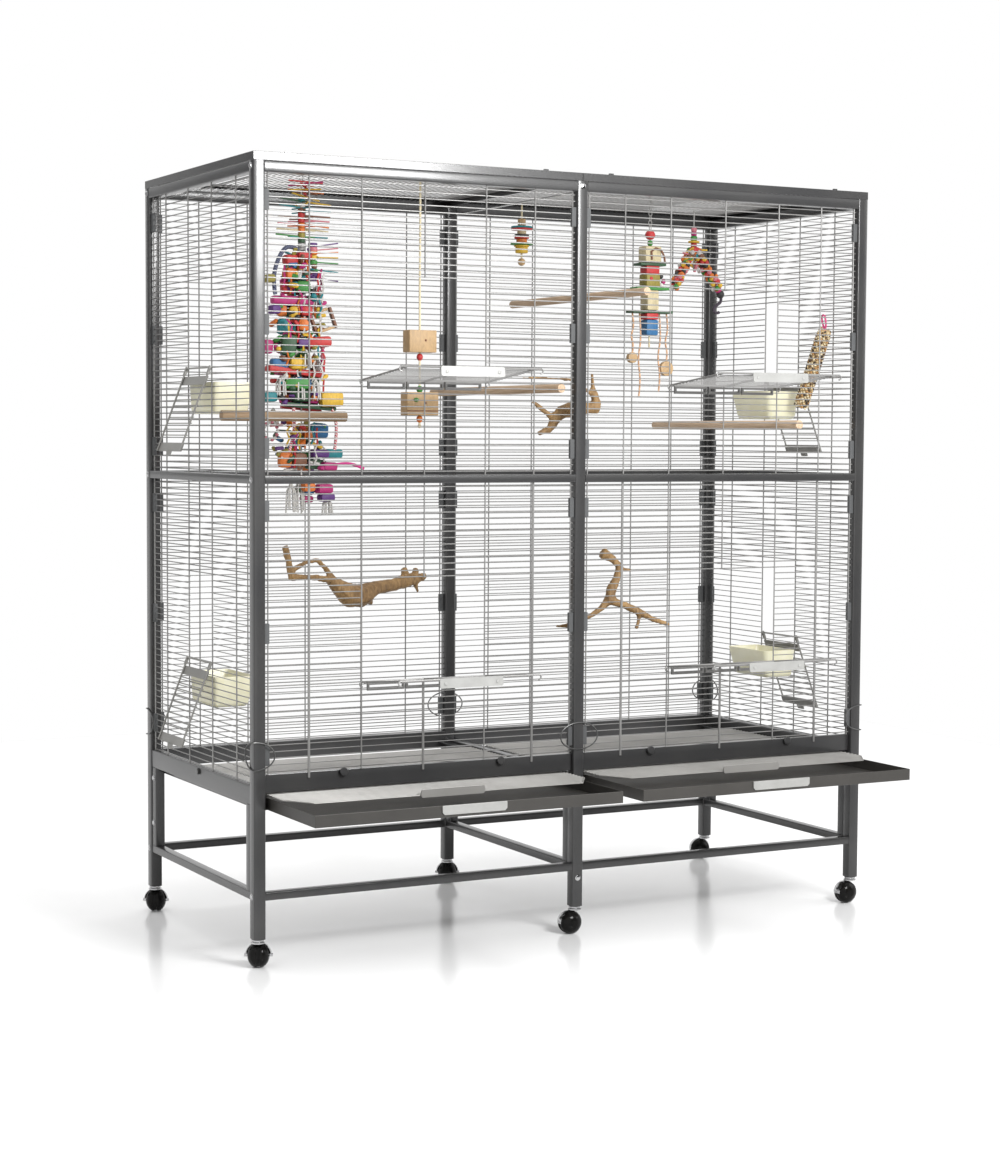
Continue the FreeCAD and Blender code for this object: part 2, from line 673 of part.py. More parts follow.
# Front landing flaps with their handles and three windowed hinge plates each, built shut and turned out
flap_axis = panel_set - flap_play - flap_rod / 2
flap_height = (flap_high_row - flap_low_row) * row_pitch
hinge_plates = []
half_rod = flap_rod / 2
for level, middle in (("upper", upper_middle), ("lower", lower_middle)):
    hinge_z = middle + flap_low_row * row_pitch
    for hand, u in (("left", -bay_middle), ("right", bay_middle)):
        hinge = vec(u, -half_d + flap_axis, hinge_z)
        reach = vec(flap_half_width, 0, 0)
        flap = [rod(hinge - reach, hinge + reach, half_rod)]
        rod_front = flap_axis - half_rod
        rod_back = flap_axis + half_rod
        high = hinge_z + flap_height
        for place in (-inner_wire, 0.0, inner_wire):
            flap.append(wall_box("front", u + place - half_rod, u + place + half_rod, rod_front, rod_back,
                                 hinge_z + half_rod, high - flap_rod))
        edge = flap_half_width + flap_tab
        flap.append(wall_box("front", u - edge, u + edge, rod_front, rod_back, high - flap_rod, high))
        for k in range(1, flap_high_row - flap_low_row):
            z = hinge_z + k * row_pitch
            flap.append(wall_wire("front", u - flap_half_width, u + flap_half_width,
                                  rod_front, rod_front - row_wire, z, row_wire / 2))
        origin = vec(u, -half_d + rod_back, high)
        handle = cut_corner_plate(origin, vec(1, 0, 0), vec(0, -1, 0), vec(0, 0, handle_sheet),
                                  handle_length, handle_depth, handle_corner)
        name = "front_flap_" + level + "_" + hand
        turned = [s.rotate(hinge, vec(1, 0, 0), flap_open) for s in flap + [handle]]
        save(name, turned[:-1])
        save(name + "_handle", turned[-1:])
        plate_top = hinge_z - half_rod / math.cos(math.pi / 8) - seat_gap
        plate_low = plate_top - hinge_plate_height
        for step in (-1, 0, 1):
            middle_u = u + step * (hinge_plate_length + hinge_plate_gap)
            ends = (middle_u - hinge_plate_length / 2, middle_u + hinge_plate_length / 2)
            plate = wall_box("front", *ends, flap_axis, row_front, plate_low, plate_top)
            margin = hinge_window_margin
            plate = plate.cut(wall_box("front", ends[0] + margin, ends[1] - margin, flap_axis, row_front,
                                       plate_low + margin, plate_top - margin))
            if step == 0:
                half_notch = edge_wire / 2 + seat_gap
                plate = plate.cut(wall_box("front", u - half_notch, u + half_notch,
                                           panel_set - seat_gap, row_front, plate_low, plate_top))
            hinge_plates.append(plate)
save("flap_hinge_plates", hinge_plates)

# Side feeder flaps with two sheet plates and a pull tab each, built shut and folded out
feeder_height = (feeder_high_row - feeder_low_row) * row_pitch
for level, middle in (("upper", upper_middle), ("lower", lower_middle)):
    hinge_z = middle + feeder_low_row * row_pitch
    for hand, turn in (("left", -feeder_open), ("right", feeder_open)):
        out = -1 if hand == "left" else 1
        hinge = vec(out * (half_w - flap_axis), 0, hinge_z)
        reach = vec(0, feeder_half_width, 0)
        flap = [rod(hinge - reach, hinge + reach, half_rod)]
        rod_front = flap_axis - half_rod
        rod_back = flap_axis + half_rod
        high = hinge_z + feeder_height
        for place in (-side_inner_wire, side_inner_wire):
            flap.append(wall_box(hand, place - half_rod, place + half_rod, rod_front, rod_back,
                                 hinge_z + half_rod, high))
        far = high - feeder_plate
        near = hinge_z + feeder_plate_start
        half_plate = side_inner_wire + half_rod
        flap.append(wall_box(hand, -half_plate, half_plate, rod_front - clip_sheet, rod_front,
                             near, near + feeder_plate))
        tail = wall_box(hand, -half_plate, half_plate, rod_front - clip_sheet, rod_front, far, high)
        tab = wall_box(hand, -feeder_tab_width / 2, feeder_tab_width / 2, rod_front - clip_sheet, rod_front,
                       high, high + feeder_tab)
        flap.append(tail.fuse(tab).removeSplitter())
        z = near + feeder_plate + row_pitch / 2
        while z < far - row_pitch / 3:
            flap.append(wall_wire(hand, -half_plate, half_plate,
                                  rod_front, rod_front - row_wire, z, row_wire / 2))
            z += row_pitch
        save("feeder_flap_" + level + "_" + hand, [s.rotate(hinge, vec(0, 1, 0), turn) for s in flap])

# Trays and grates, pulled out to the front
for hand, middle, tray_out, grate_out in (("left", -bay_middle, tray_out_left, grate_out_left),
                                          ("right", bay_middle, tray_out_right, grate_out_right)):
    x0 = middle - tray_width / 2
    x1 = middle + tray_width / 2
    front = -half_d - tray_out
    tray = box(x0, x1, front, front + tray_depth, tray_bottom, tray_top)
    tray = tray.cut(box(x0 + tray_wall, x1 - tray_wall, front + tray_wall, front + tray_depth - tray_wall,
                        tray_bottom + tray_wall, tray_top))
    save("tray_" + hand, [tray])
    pull = cut_corner_plate(vec(middle, front, tray_top), vec(1, 0, 0), vec(0, 0, -1), vec(0, -pull_sheet, 0),
                            pull_length, tray_handle_height, handle_corner)
    save("tray_" + hand + "_handle", [pull])
    front = -half_d - grate_out
    back = front + tray_depth
    low = grate_bottom + grate_bar
    high = low + grate_bar
    grate = []
    for inner, outer in ((x0 + grate_side, x0), (x1 - grate_side, x1)):
        shift = grate_corner_x if outer == x0 else -grate_corner_x
        side = [(outer, back), (outer, front + grate_corner_y), (outer + shift, front),
                (inner + shift, front), (inner, front + grate_corner_y), (inner, back)]
        grate.append(prism([(x, y, grate_bottom) for x, y in side], (0, 0, grate_bar)))
    for i in range(int((tray_depth - grate_bar) / row_pitch) + 1):
        y = front + i * row_pitch
        short = max(0.0, 1 - (y - front) / grate_corner_y) * grate_corner_x
        grate.append(box(x0 + short, x1 - short, y, y + grate_bar, low, high))
    pull = cut_corner_plate(vec(middle, front, grate_bottom), vec(1, 0, 0), vec(0, 0, 1),
                            vec(0, -pull_sheet, 0), pull_length, grate_handle_height, handle_corner)
    save("floor_grate_" + hand, grate + [pull])

# Feeder cups: tapered, open on top, against the rows under the feeder openings
cups = []
for out in (-1, 1):
    for middle in (upper_middle, lower_middle):
        rim_z = middle + feeder_low_row * row_pitch - cup_below_hinge
        wall = out * (half_w - row_back)

        def cup_ring(z, trim):
            near = wall - out * trim
            far = wall - out * (cup_depth - trim - (rim_z - z) * cup_taper / cup_height)
            half = cup_width / 2 - trim - (rim_z - z) * cup_taper / cup_height
            return [vec(near, -half, z), vec(near, half, z), vec(far, half, z), vec(far, -half, z)]

        shell = skin([cup_ring(rim_z - cup_height, 0), cup_ring(rim_z, 0)], True)
        hollow = skin([cup_ring(rim_z - cup_height + cup_wall, cup_wall), cup_ring(rim_z, cup_wall)], True)
        cups.append(shell.cut(hollow))
save("feeder_cups", cups)

# Straight perches: three from front to back between the row wires, one from the left side
perch_end = half_d - row_back
perches = []
for share, rise, radius in perch_rows:
    x = share * half_w
    perches.append(rod(vec(x, -perch_end, mid_top + rise), vec(x, perch_end, mid_top + rise), radius))
perch_start = vec(-half_w + row_back, -side_perch_place, mid_top + side_perch_rise)
perches.append(rod(perch_start, perch_start + vec(side_perch_length, 0, 0), side_perch_radius))
save("straight_perches", perches)


# A root: the limb that ends in its seat, then the other limbs grown into it
def grow_root(seat, facing, limbs):
    grown = None
    for i, limb in enumerate(limbs):
        points = [seat + vec(*point[:3]) for point in limb]
        radii = [point[3] for point in limb]
        wood = branch(points, radii, None if i else facing, 6 if max(radii) > thin_limb else 5)
        grown = grown.fuse(wood) if grown else wood
    return grown


# Root-wood perches: two on the back of the front middle post, one on the back panel
post_back = -half_d + post
roots = [grow_root(vec(0, post_back, mid_top + post_root_upper_rise), (0, -1, 0), upper_root_limbs),
         grow_root(vec(0, post_back, front_rail_top + post_root_lower_rise), (0, -1, 0), lower_root_limbs),
         grow_root(vec(-back_root_place, half_d - row_back, front_rail_top + back_root_rise), (0, 1, 0),
                   back_root_limbs)]
save("root_perches", roots)

# Seed stick clipped to the right side panel
stick_x = half_w - row_back - stick_radius - seat_gap
save("seed_stick", [rod(vec(stick_x, -stick_low_place, mid_top + stick_low_rise),
                        vec(stick_x, -stick_high_place, mid_top + stick_high_rise), stick_radius)])


# Toys: parts are threaded on a cord, so each list runs from the hook down
def block(x, y, z, size_x, size_y, size_z):
    return box(x - size_x / 2, x + size_x / 2, y - size_y / 2, y + size_y / 2, z - size_z, z)


toy_top = roof_under - seat_gap
cord_top = toy_top - hook_height


# A hook plate under the roof wires, narrow at the top so that it can rock
def toy_hook(x, y):
    outline = ((x - hook_width / 2, cord_top), (x + hook_width / 2, cord_top),
               (x + hook_tip / 2, toy_top), (x - hook_tip / 2, toy_top))
    return prism([(a, y - cord / 2, z) for a, z in outline], (0, cord, 0))


# Each toy hangs on the roof wire nearest to its place
def toy_place(name):
    share, front = toy_places[name]
    return min(wire_places, key=lambda place: abs(place - share * half_w)), -front


# Large toy: a core with fans of sticks on it, then tiers of blocks to its left and right
x, y = toy_place("stick_tower")
core_top = toy_top - tower_core_drop
toy = [toy_hook(x, y), block(x, y, cord_top, cord, cord, cord_top - core_top),
       block(x, y, core_top, tower_core, tower_core, tower_length - tower_core_drop)]
half_core = tower_core / 2
for i, (drop, left, right) in enumerate(tower_sticks):
    y0 = y + half_core if i % 2 else y - half_core - tower_stick
    toy.append(box(x - left, x + right, y0, y0 + tower_stick, toy_top - drop - tower_stick, toy_top - drop))
for drop, tall, left, right, half_depth in tower_tiers:
    for near, far in ((-left, -half_core), (half_core, right)):
        if near < far:
            toy.append(box(x + near, x + far, y - half_depth, y + half_depth,
                           toy_top - drop - tall, toy_top - drop))
save("toy_stick_tower", toy)

# Two wood blocks with beads on a rope
x, y = toy_place("wood_blocks")
toy = [toy_hook(x, y)]
z = cord_top
for size_x, size_y, tall in blocks_pieces:
    toy.append(block(x, y, z, size_x, size_y, tall))
    z -= tall
save("toy_wood_blocks", toy)

# Stack of discs that hangs from the tie rod
x, y = 0.0, -toy_places["disc_stack"][1]
toy = []
z = tie_rod_height - tie_rod_radius / math.cos(math.pi / 8) - seat_gap
for radius, tall in disc_pieces:
    toy.append(rod(vec(x, y, z), vec(x, y, z - tall), radius))
    z -= tall
save("toy_disc_stack", toy)

# Tiered planks and blocks with strips below
x, y = toy_place("plank_tiers")
toy = [toy_hook(x, y)]
z = cord_top
for size_x, size_y, tall in tier_pieces:
    toy.append(block(x, y, z, size_x, size_y, tall))
    z -= tall
plank_z = z + sum(piece[2] for piece in tier_pieces[-3:])
for shift, tall, slice_height in strip_pieces:
    toy.append(block(x + shift, y, plank_z, strip_width, strip_depth, tall))
    if slice_height:
        toy.append(block(x + shift, y, plank_z - tall, slice_width, slice_depth, slice_height))
save("toy_plank_tiers", toy)

# Beads on two loops of cord
x, y = toy_place("bead_loops")
toy = [toy_hook(x, y)]
z = cord_top
for size, tall in loop_pieces:
    toy.append(block(x, y, z, size, size, tall))
    z -= tall
start_x, start_z = loop_pieces[-1][0] / 2, z + loop_pieces[-1][1]
for out, count in ((-1, 5), (1, 6)):
    for i in range(count):
        bead_x = x + out * (start_x + loop_bead * (i + 0.5))
        bead_z = start_z - loop_first_drop - loop_bead_drop * i
        toy.append(block(bead_x, y, bead_z, loop_bead, loop_bead_depth, loop_bead_height))
toy.append(block(bead_x, y, bead_z - loop_bead_height, tail_cord, tail_cord, tail_length))
toy.append(block(bead_x, y, bead_z - loop_bead_height - tail_length, tail_ball, tail_ball, tail_ball))
save("toy_bead_loops", toy)

# Casters: hood with collar, stem and axle stubs, and a ball wheel between the stubs
up = vec(0, 0, 1)
for name, (px, py) in post_places.items():
    bow = math.hypot(wheel_tread, wheel_radius / math.cos(math.pi / wheel_facets)) + hood_gap
    centre = vec(-caster_trail, 0, wheel_radius)
    turns = [math.pi * i / hood_facets for i in range(hood_facets + 1)]
    corner = bow / math.cos(turns[1] / 2)
    inner = [(corner * math.cos(a), corner * math.sin(a)) for a in turns]
    scale = (bow + hood_sheet) / bow
    outline = [(a * scale, b * scale) for a, b in inner] + inner[::-1]
    corners = [centre + vec(-hood_width / 2, a, b) for a, b in outline]
    hood = Part.Face(Part.makePolygon(corners + corners[:1])).extrude(vec(hood_width, 0, 0))
    collar_low = wheel_radius + bow
    collar = rod(vec(0, 0, collar_low), vec(0, 0, leg_bottom - seat_gap), collar_radius, 10)
    bore = (post - 2 * tube_wall) / 2
    stem = rod(vec(0, 0, leg_bottom - seat_gap), vec(0, 0, leg_bottom + stem_length),
               (bore - seat_gap) * math.cos(math.pi / 8))
    hood = hood.fuse(collar).fuse(stem)
    for out in (-1, 1):
        outer_end = centre + vec(0, out * (bow + hood_sheet / 2), 0)
        axle_end = centre + vec(0, out * (wheel_half_width - axle_depth), 0)
        hood = hood.fuse(rod(outer_end, axle_end, axle_radius))
    rings = []
    for place, radius in ((-wheel_half_width, wheel_side_radius), (-wheel_tread, wheel_radius),
                          (wheel_tread, wheel_radius), (wheel_half_width, wheel_side_radius)):
        spread = radius / math.cos(math.pi / wheel_facets)
        rings.append(ring_corners(centre + vec(0, place, 0), vec(1, 0, 0), up, spread, wheel_facets))
    wheel = skin(rings, True)
    for out in (-1, 1):
        pit = wheel_half_width - axle_depth - seat_gap
        wheel = wheel.cut(rod(centre + vec(0, out * pit, 0), centre + vec(0, out * wheel_half_width, 0),
                              axle_radius + seat_gap))
    for part, shape in (("caster_hood_", hood.removeSplitter()), ("caster_wheel_", wheel)):
        shape.rotate(vec(0, 0, 0), up, caster_headings[name] - 180.0)
        shape.translate(vec(px, py, 0))
        save(part + name, [shape])
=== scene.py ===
import math
import random

import bmesh
import bpy
from mathutils import Matrix, Vector


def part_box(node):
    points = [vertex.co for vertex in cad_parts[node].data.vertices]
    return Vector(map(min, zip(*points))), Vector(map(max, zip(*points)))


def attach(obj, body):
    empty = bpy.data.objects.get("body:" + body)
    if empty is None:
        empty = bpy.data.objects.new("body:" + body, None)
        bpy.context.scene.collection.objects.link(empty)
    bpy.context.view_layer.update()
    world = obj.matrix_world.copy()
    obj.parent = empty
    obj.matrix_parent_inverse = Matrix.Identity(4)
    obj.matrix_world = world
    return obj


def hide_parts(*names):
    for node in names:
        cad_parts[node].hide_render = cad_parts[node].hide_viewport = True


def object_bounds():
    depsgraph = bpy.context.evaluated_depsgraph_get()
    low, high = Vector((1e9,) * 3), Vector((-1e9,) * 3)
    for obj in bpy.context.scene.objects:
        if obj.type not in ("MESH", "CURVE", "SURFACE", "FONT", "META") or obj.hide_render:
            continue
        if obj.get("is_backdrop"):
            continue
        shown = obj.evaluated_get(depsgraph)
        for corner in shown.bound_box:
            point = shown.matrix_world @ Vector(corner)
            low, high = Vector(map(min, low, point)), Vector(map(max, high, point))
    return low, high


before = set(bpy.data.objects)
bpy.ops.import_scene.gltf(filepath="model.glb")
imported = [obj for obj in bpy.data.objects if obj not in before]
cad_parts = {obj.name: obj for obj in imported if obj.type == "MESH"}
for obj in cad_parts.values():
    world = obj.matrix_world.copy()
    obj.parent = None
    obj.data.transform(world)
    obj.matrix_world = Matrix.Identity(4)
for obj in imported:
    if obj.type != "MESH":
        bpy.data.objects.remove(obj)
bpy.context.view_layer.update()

# Swivel casters under the six posts: a ball wheel of glossy black nylon turns on an axle under a half dome of
# chromed sheet, which hangs from a pressed double collar on a stem that is driven up into the post.
post_x = {"left": -0.7375, "middle": 0.0, "right": 0.7375}
post_y = {"front": -0.203, "back": 0.412}
caster_headings = {"front_left": 62, "front_middle": 180, "front_right": 180,
                   "back_left": 62, "back_middle": 62, "back_right": 152}
hood_openings = {"front_left": -118, "front_middle": -81, "front_right": -72,
                 "back_left": -118, "back_middle": -110, "back_right": -95}
caster_trail = 0.012
wheel_radius = 0.025
wheel_side = ((0.0220, 0.0), (0.0220, 0.0070), (0.0212, 0.0100), (0.0188, 0.0155), (0.0150, 0.0205),
              (0.0105, 0.0240), (0.0070, 0.0250), (0.0040, 0.0249), (0.0030, 0.0240))
wheel_profile = [(-along, radius) for along, radius in wheel_side] + list(reversed(wheel_side))
hood_radius = 0.0270
hood_sheet = 0.0013
hood_lip = 0.003
axle_reach = (0.0200, 0.0290)
axle_radius = 0.0036
axle_clear = 0.3
collar_profile = ((0.0508, 0.0), (0.0508, 0.0130), (0.0516, 0.0145), (0.0540, 0.0145), (0.0548, 0.0134),
                  (0.0553, 0.0108), (0.0562, 0.0108), (0.0567, 0.0124), (0.0573, 0.0130), (0.0590, 0.0130),
                  (0.0597, 0.0122), (0.0597, 0.0))


def put(tree, kind, inputs=(), **options):
    made = tree.nodes.new("ShaderNode" + kind)
    for key, value in options.items():
        setattr(made, key, value)
    for key, value in dict(inputs).items():
        if isinstance(value, bpy.types.NodeSocket):
            tree.links.new(value, made.inputs[key])
        else:
            made.inputs[key].default_value = value
    return made


def new_group(name, inputs, outputs):
    tree = bpy.data.node_groups.new(name, "ShaderNodeTree")
    for socket, kind, value in inputs:
        made = tree.interface.new_socket(socket, in_out="INPUT", socket_type="NodeSocket" + kind)
        made.default_value = value
    for socket, kind in outputs:
        tree.interface.new_socket(socket, in_out="OUTPUT", socket_type="NodeSocket" + kind)
    return tree, tree.nodes.new("NodeGroupInput").outputs, put(tree, "TexCoord").outputs["Object"]


def put_out(tree, **sockets):
    made = tree.nodes.new("NodeGroupOutput")
    for key, socket in sockets.items():
        tree.links.new(socket, made.inputs[key])


def use_group(tree, group, **inputs):
    made = tree.nodes.new("ShaderNodeGroup")
    made.node_tree = group
    for key, value in inputs.items():
        made.inputs[key].default_value = value
    return made.outputs


def new_finish(name):
    finish = bpy.data.materials.new(name)
    finish.use_nodes = True
    finish.node_tree.nodes.clear()
    return finish, finish.node_tree


def ramp(tree, factor, *stops):
    made = put(tree, "ValToRGB", {"Fac": factor})
    band = made.color_ramp
    while len(band.elements) < len(stops):
        band.elements.new(1.0)
    for element, (place, colour) in zip(band.elements, stops):
        element.position = place
        element.color = (*colour, 1.0)
    return made.outputs["Color"]


def level(tree, factor, low, high):
    made = put(tree, "MapRange", {"Value": factor, "To Min": low, "To Max": high})
    return made.outputs["Result"]


def coat(tree, **inputs):
    named = {key.replace("_", " "): value for key, value in inputs.items()}
    shader = put(tree, "BsdfPrincipled", named)
    put(tree, "OutputMaterial", {"Surface": shader.outputs["BSDF"]})


# Dust and hand marks: a cloudy mask that varies the shade and the gloss
marks, given, place = new_group("hand_marks", [("Scale", "Float", 30.0)], [("Mark", "Float")])
cloud = put(marks, "TexNoise", {"Vector": place, "Scale": given["Scale"], "Detail": 5.0, "Roughness": 0.6})
put_out(marks, Mark=cloud.outputs["Fac"])


def marked(name, scale, dark, pale, rough, pale_at=0.7, **more):
    finish, tree = new_finish(name)
    mark = use_group(tree, marks, Scale=scale)["Mark"]
    coat(tree, Base_Color=ramp(tree, mark, (0.3, dark), (pale_at, pale)),
         Roughness=level(tree, mark, *rough), **more)
    return finish


chrome = marked("chrome_plate", 60.0, (0.40, 0.40, 0.41), (0.56, 0.56, 0.56), (0.06, 0.18), Metallic=1.0)
nylon = marked("black_nylon", 45.0, (0.004, 0.004, 0.004), (0.009, 0.0085, 0.008), (0.08, 0.20), 0.75,
               Specular_IOR_Level=0.11)


def place_mesh(bm, name, finish):
    mesh = bpy.data.meshes.new(name)
    bm.to_mesh(mesh)
    bm.free()
    mesh.materials.append(finish)
    made = bpy.data.objects.new(name, mesh)
    bpy.context.scene.collection.objects.link(made)
    return made


def piece(bm, name, body, finish, node, angle=35):
    bmesh.ops.recalc_face_normals(bm, faces=bm.faces)
    for face in bm.faces:
        face.smooth = True
    made = place_mesh(bm, name, finish)
    made.data.set_sharp_from_angle(angle=math.radians(angle))
    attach(made, body)
    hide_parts(node)
    return made


def turned(bm, profile, axis, steps, place=Matrix()):
    known = set(bm.verts)
    side = Vector((0, 0, 1)) if axis[0] else Vector((1, 0, 0))
    verts = [bm.verts.new(Vector(axis) * along + side * radius) for along, radius in profile]
    edges = [bm.edges.new(pair) for pair in zip(verts, verts[1:])]
    bmesh.ops.spin(bm, geom=verts + edges, axis=axis, angle=math.tau, steps=steps, use_merge=True)
    around = [vert for vert in bm.verts if vert not in known]
    bmesh.ops.transform(bm, matrix=place, verts=around)
    bmesh.ops.remove_doubles(bm, verts=around, dist=1e-6)


def soften(bm, edges, width, steps=2):
    bmesh.ops.bevel(bm, geom=list(edges), offset=width, segments=steps, profile=0.5, affect="EDGES",
                    material=-1)


def rod(bm, start, end, radius, sides=6):
    line = end - start
    place = Matrix.Translation((start + end) / 2) @ line.to_track_quat("Z", "Y").to_matrix().to_4x4()
    made = bmesh.ops.create_cone(bm, cap_ends=True, segments=sides, radius1=radius, radius2=radius,
                                 depth=line.length, matrix=place)
    return made["verts"]


def disc(bm, start, end, radius, sides=24, edge=0.0004):
    around = rod(bm, start, end, radius, sides)
    rims = {e for v in around for e in v.link_edges if any(len(f.verts) > 4 for f in e.link_faces)}
    soften(bm, rims, edge)


for name, heading in caster_headings.items():
    row, column = name.split("_")
    swivel = Matrix.Rotation(math.radians(heading - 180), 4, "Z")
    foot = Matrix.Translation((post_x[column], post_y[row], 0.0)) @ swivel
    hub = Matrix.Translation((-caster_trail, 0.0, wheel_radius))
    bm = bmesh.new()
    turned(bm, wheel_profile, (0, 1, 0), 48, foot @ hub)
    piece(bm, "ball_wheel_" + name, "caster_wheel_" + name, nylon, "caster_wheel_" + name)
    bm = bmesh.new()
    bmesh.ops.create_uvsphere(bm, u_segments=40, v_segments=24, radius=hood_radius)
    opening = math.radians(hood_openings[name] - heading + 180)
    open_side = Vector((math.cos(opening), math.sin(opening), 0))
    for out, reach in ((Vector((0, 0, -1)), hood_lip / 2), (open_side, hood_lip)):
        bmesh.ops.bisect_plane(bm, geom=bm.verts[:] + bm.edges[:] + bm.faces[:], dist=1e-6,
                               plane_co=out * reach, plane_no=out, clear_outer=True)
    bmesh.ops.solidify(bm, geom=bm.faces[:], thickness=hood_sheet)
    for hand in (-1, 1):
        if hand * open_side.y < axle_clear:
            start, end = (Vector((0, hand * reach, 0)) for reach in axle_reach)
            disc(bm, start, end, axle_radius, 16)
    bmesh.ops.transform(bm, matrix=hub, verts=bm.verts)
    turned(bm, collar_profile, (0, 0, 1), 40)
    bmesh.ops.transform(bm, matrix=foot, verts=bm.verts)
    piece(bm, "chrome_hood_" + name, "caster_hood_" + name, chrome, "caster_hood_" + name)

# Stand under the cage: three welded side frames and four stretchers of square steel tube, bolted to the
# posts, and the runners of the trays. They have the dark grey hammered powder coat of the whole frame.
frame_x = ((-0.748, -0.727), (-0.0105, 0.0105), (0.727, 0.748))
frame_y = (-0.1905, 0.3995)
stand_upright = 0.025
stretcher_z = (0.138, 0.155)
rail_z = ((0.331, 0.370), (0.331, 0.352), (0.331, 0.370))
bay_x = ((-0.725, -0.0125), (0.0125, 0.725))
stretcher_y = ((-0.2135, -0.1925), (0.4015, 0.4225))
runner_edge = 0.0004

# Hammered coat: shallow dimples, a drifting shade and a gloss that follows the specks
hammer, given, place = new_group("hammered_coat", [("Dimples", "Float", 340.0), ("Depth", "Float", 0.35)],
                                 [("Shade", "Float"), ("Gloss", "Float"), ("Normal", "Vector")])
cells = put(hammer, "TexVoronoi", {"Vector": place, "Scale": given["Dimples"]}, feature="SMOOTH_F1")
drift = put(hammer, "TexNoise", {"Vector": place, "Scale": 7.0, "Detail": 4.0})
speck = put(hammer, "TexNoise", {"Vector": place, "Scale": 900.0, "Detail": 2.0})
mixed = put(hammer, "Math", {0: cells.outputs["Distance"], 1: speck.outputs["Fac"]}, operation="ADD")
dents = put(hammer, "Bump", {"Height": mixed.outputs[0], "Strength": given["Depth"], "Distance": 0.0006})
put_out(hammer, Shade=drift.outputs["Fac"], Gloss=speck.outputs["Fac"], Normal=dents.outputs["Normal"])


def hammered(name, dimples, depth, dark, pale, rough, **more):
    finish, tree = new_finish(name)
    coated = use_group(tree, hammer, Dimples=dimples, Depth=depth)
    coat(tree, Base_Color=ramp(tree, coated["Shade"], (0.3, dark), (0.7, pale)),
         Roughness=level(tree, coated["Gloss"], *rough), Normal=coated["Normal"], **more)
    return finish


frame_paint = hammered("frame_powder_coat", 320.0, 0.30, (0.022, 0.022, 0.023), (0.033, 0.0325, 0.032),
                       (0.30, 0.45), Specular_IOR_Level=0.30, Coat_Weight=0.65, Coat_Roughness=0.16)


def bar(bm, low, high, along, corner=0.0020, steps=3):
    low, high = Vector(low), Vector(high)
    place = Matrix.Translation((low + high) / 2) @ Matrix.Diagonal((*(high - low), 1.0))
    made = bmesh.ops.create_cube(bm, size=1.0, matrix=place)
    edges = {e for v in made["verts"] for e in v.link_edges}
    soften(bm, [e for e in edges if abs((e.verts[0].co - e.verts[1].co)[along]) > 1e-6], corner, steps)


def painted(bm, name, node):
    piece(bm, name, "cage", frame_paint, node)


def dress(node, finish, edge):
    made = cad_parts[node]
    made.data.materials.clear()
    made.data.materials.append(finish)
    weld = made.modifiers.new("weld", "WELD")
    weld.merge_threshold = 1e-5
    soft = made.modifiers.new("soft_edges", "BEVEL")
    soft.width = edge
    soft.segments = 2
    soft.limit_method = "ANGLE"


bm = bmesh.new()
for (x0, x1), (z0, z1) in zip(frame_x, rail_z):
    bar(bm, (x0, frame_y[0], z0), (x1, frame_y[1], z1), 1)
    bar(bm, (x0, frame_y[0], stretcher_z[0]), (x1, frame_y[1], stretcher_z[1]), 1)
    for y0 in (frame_y[0], frame_y[1] - stand_upright):
        bar(bm, (x0, y0, stretcher_z[1]), (x1, y0 + stand_upright, z0), 2)
painted(bm, "stand_side_frames", "stand_frames")
bm = bmesh.new()
for x0, x1 in bay_x:
    for y0, y1 in stretcher_y:
        bar(bm, (x0, y0, stretcher_z[0]), (x1, y1, stretcher_z[1]), 0)
painted(bm, "stand_cross_bars", "stand_stretchers")
dress("tray_runners", frame_paint, runner_edge)

# Posts and rails: square steel tube with rounded corners, cut to length, hammered powder coat. The rails are
# screwed between the posts from inside; the front base rails have slots for the hooks of the panels.
half_post = 0.0125
outer_face = post_x["right"] + half_post
post_corner = 0.0024
rail_corner = 0.0022
rail_heights = {"mid_rails": (0.978, 0.995), "top_rails": (1.595, 1.617)}
sheet_edge = 0.0007


def islands(node):
    copy = bmesh.new()
    copy.from_mesh(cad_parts[node].data)
    bmesh.ops.remove_doubles(copy, verts=copy.verts, dist=2e-5)
    found = []
    seen = set()
    for first in copy.verts:
        if first in seen:
            continue
        seen.add(first)
        stack = [first]
        group = []
        while stack:
            vert = stack.pop()
            group.append(vert.co.copy())
            for edge in vert.link_edges:
                other = edge.other_vert(vert)
                if other not in seen:
                    seen.add(other)
                    stack.append(other)
        found.append((Vector(map(min, zip(*group))), Vector(map(max, zip(*group)))))
    copy.free()
    return found


bm = bmesh.new()
for low, high in islands("frame_posts"):
    bar(bm, low, high, 2, post_corner)
painted(bm, "square_posts", "frame_posts")
for node, (z0, z1) in rail_heights.items():
    bm = bmesh.new()
    for x0, x1 in bay_x:
        for y in post_y.values():
            bar(bm, (x0, y - half_post, z0), (x1, y + half_post, z1), 0, rail_corner)
    for x in (post_x["left"], post_x["right"]):
        bar(bm, (x - half_post, frame_y[0], z0), (x + half_post, frame_y[1], z1), 1, rail_corner)
    painted(bm, node + "_tube", node)
dress("base_rails", frame_paint, sheet_edge)

# Bolt heads on the posts, the uprights and the middle rails: bright plated hexagon heads with a pressed
# washer, which hold the rails and the stand to the posts.
cage_middle = Vector((0.0, 0.1045, 0.0))
washer_radius = 0.0066
washer_high = 0.0009
head_radius = 0.0054
head_high = 0.0030
rail_bolt_z = 0.9865


def axis_of(pick, low, high):
    size = high - low
    return pick(range(3), key=lambda axis: size[axis])


def outward(low, high, along):
    return 1.0 if (low + high)[along] / 2 > cage_middle[along] else -1.0


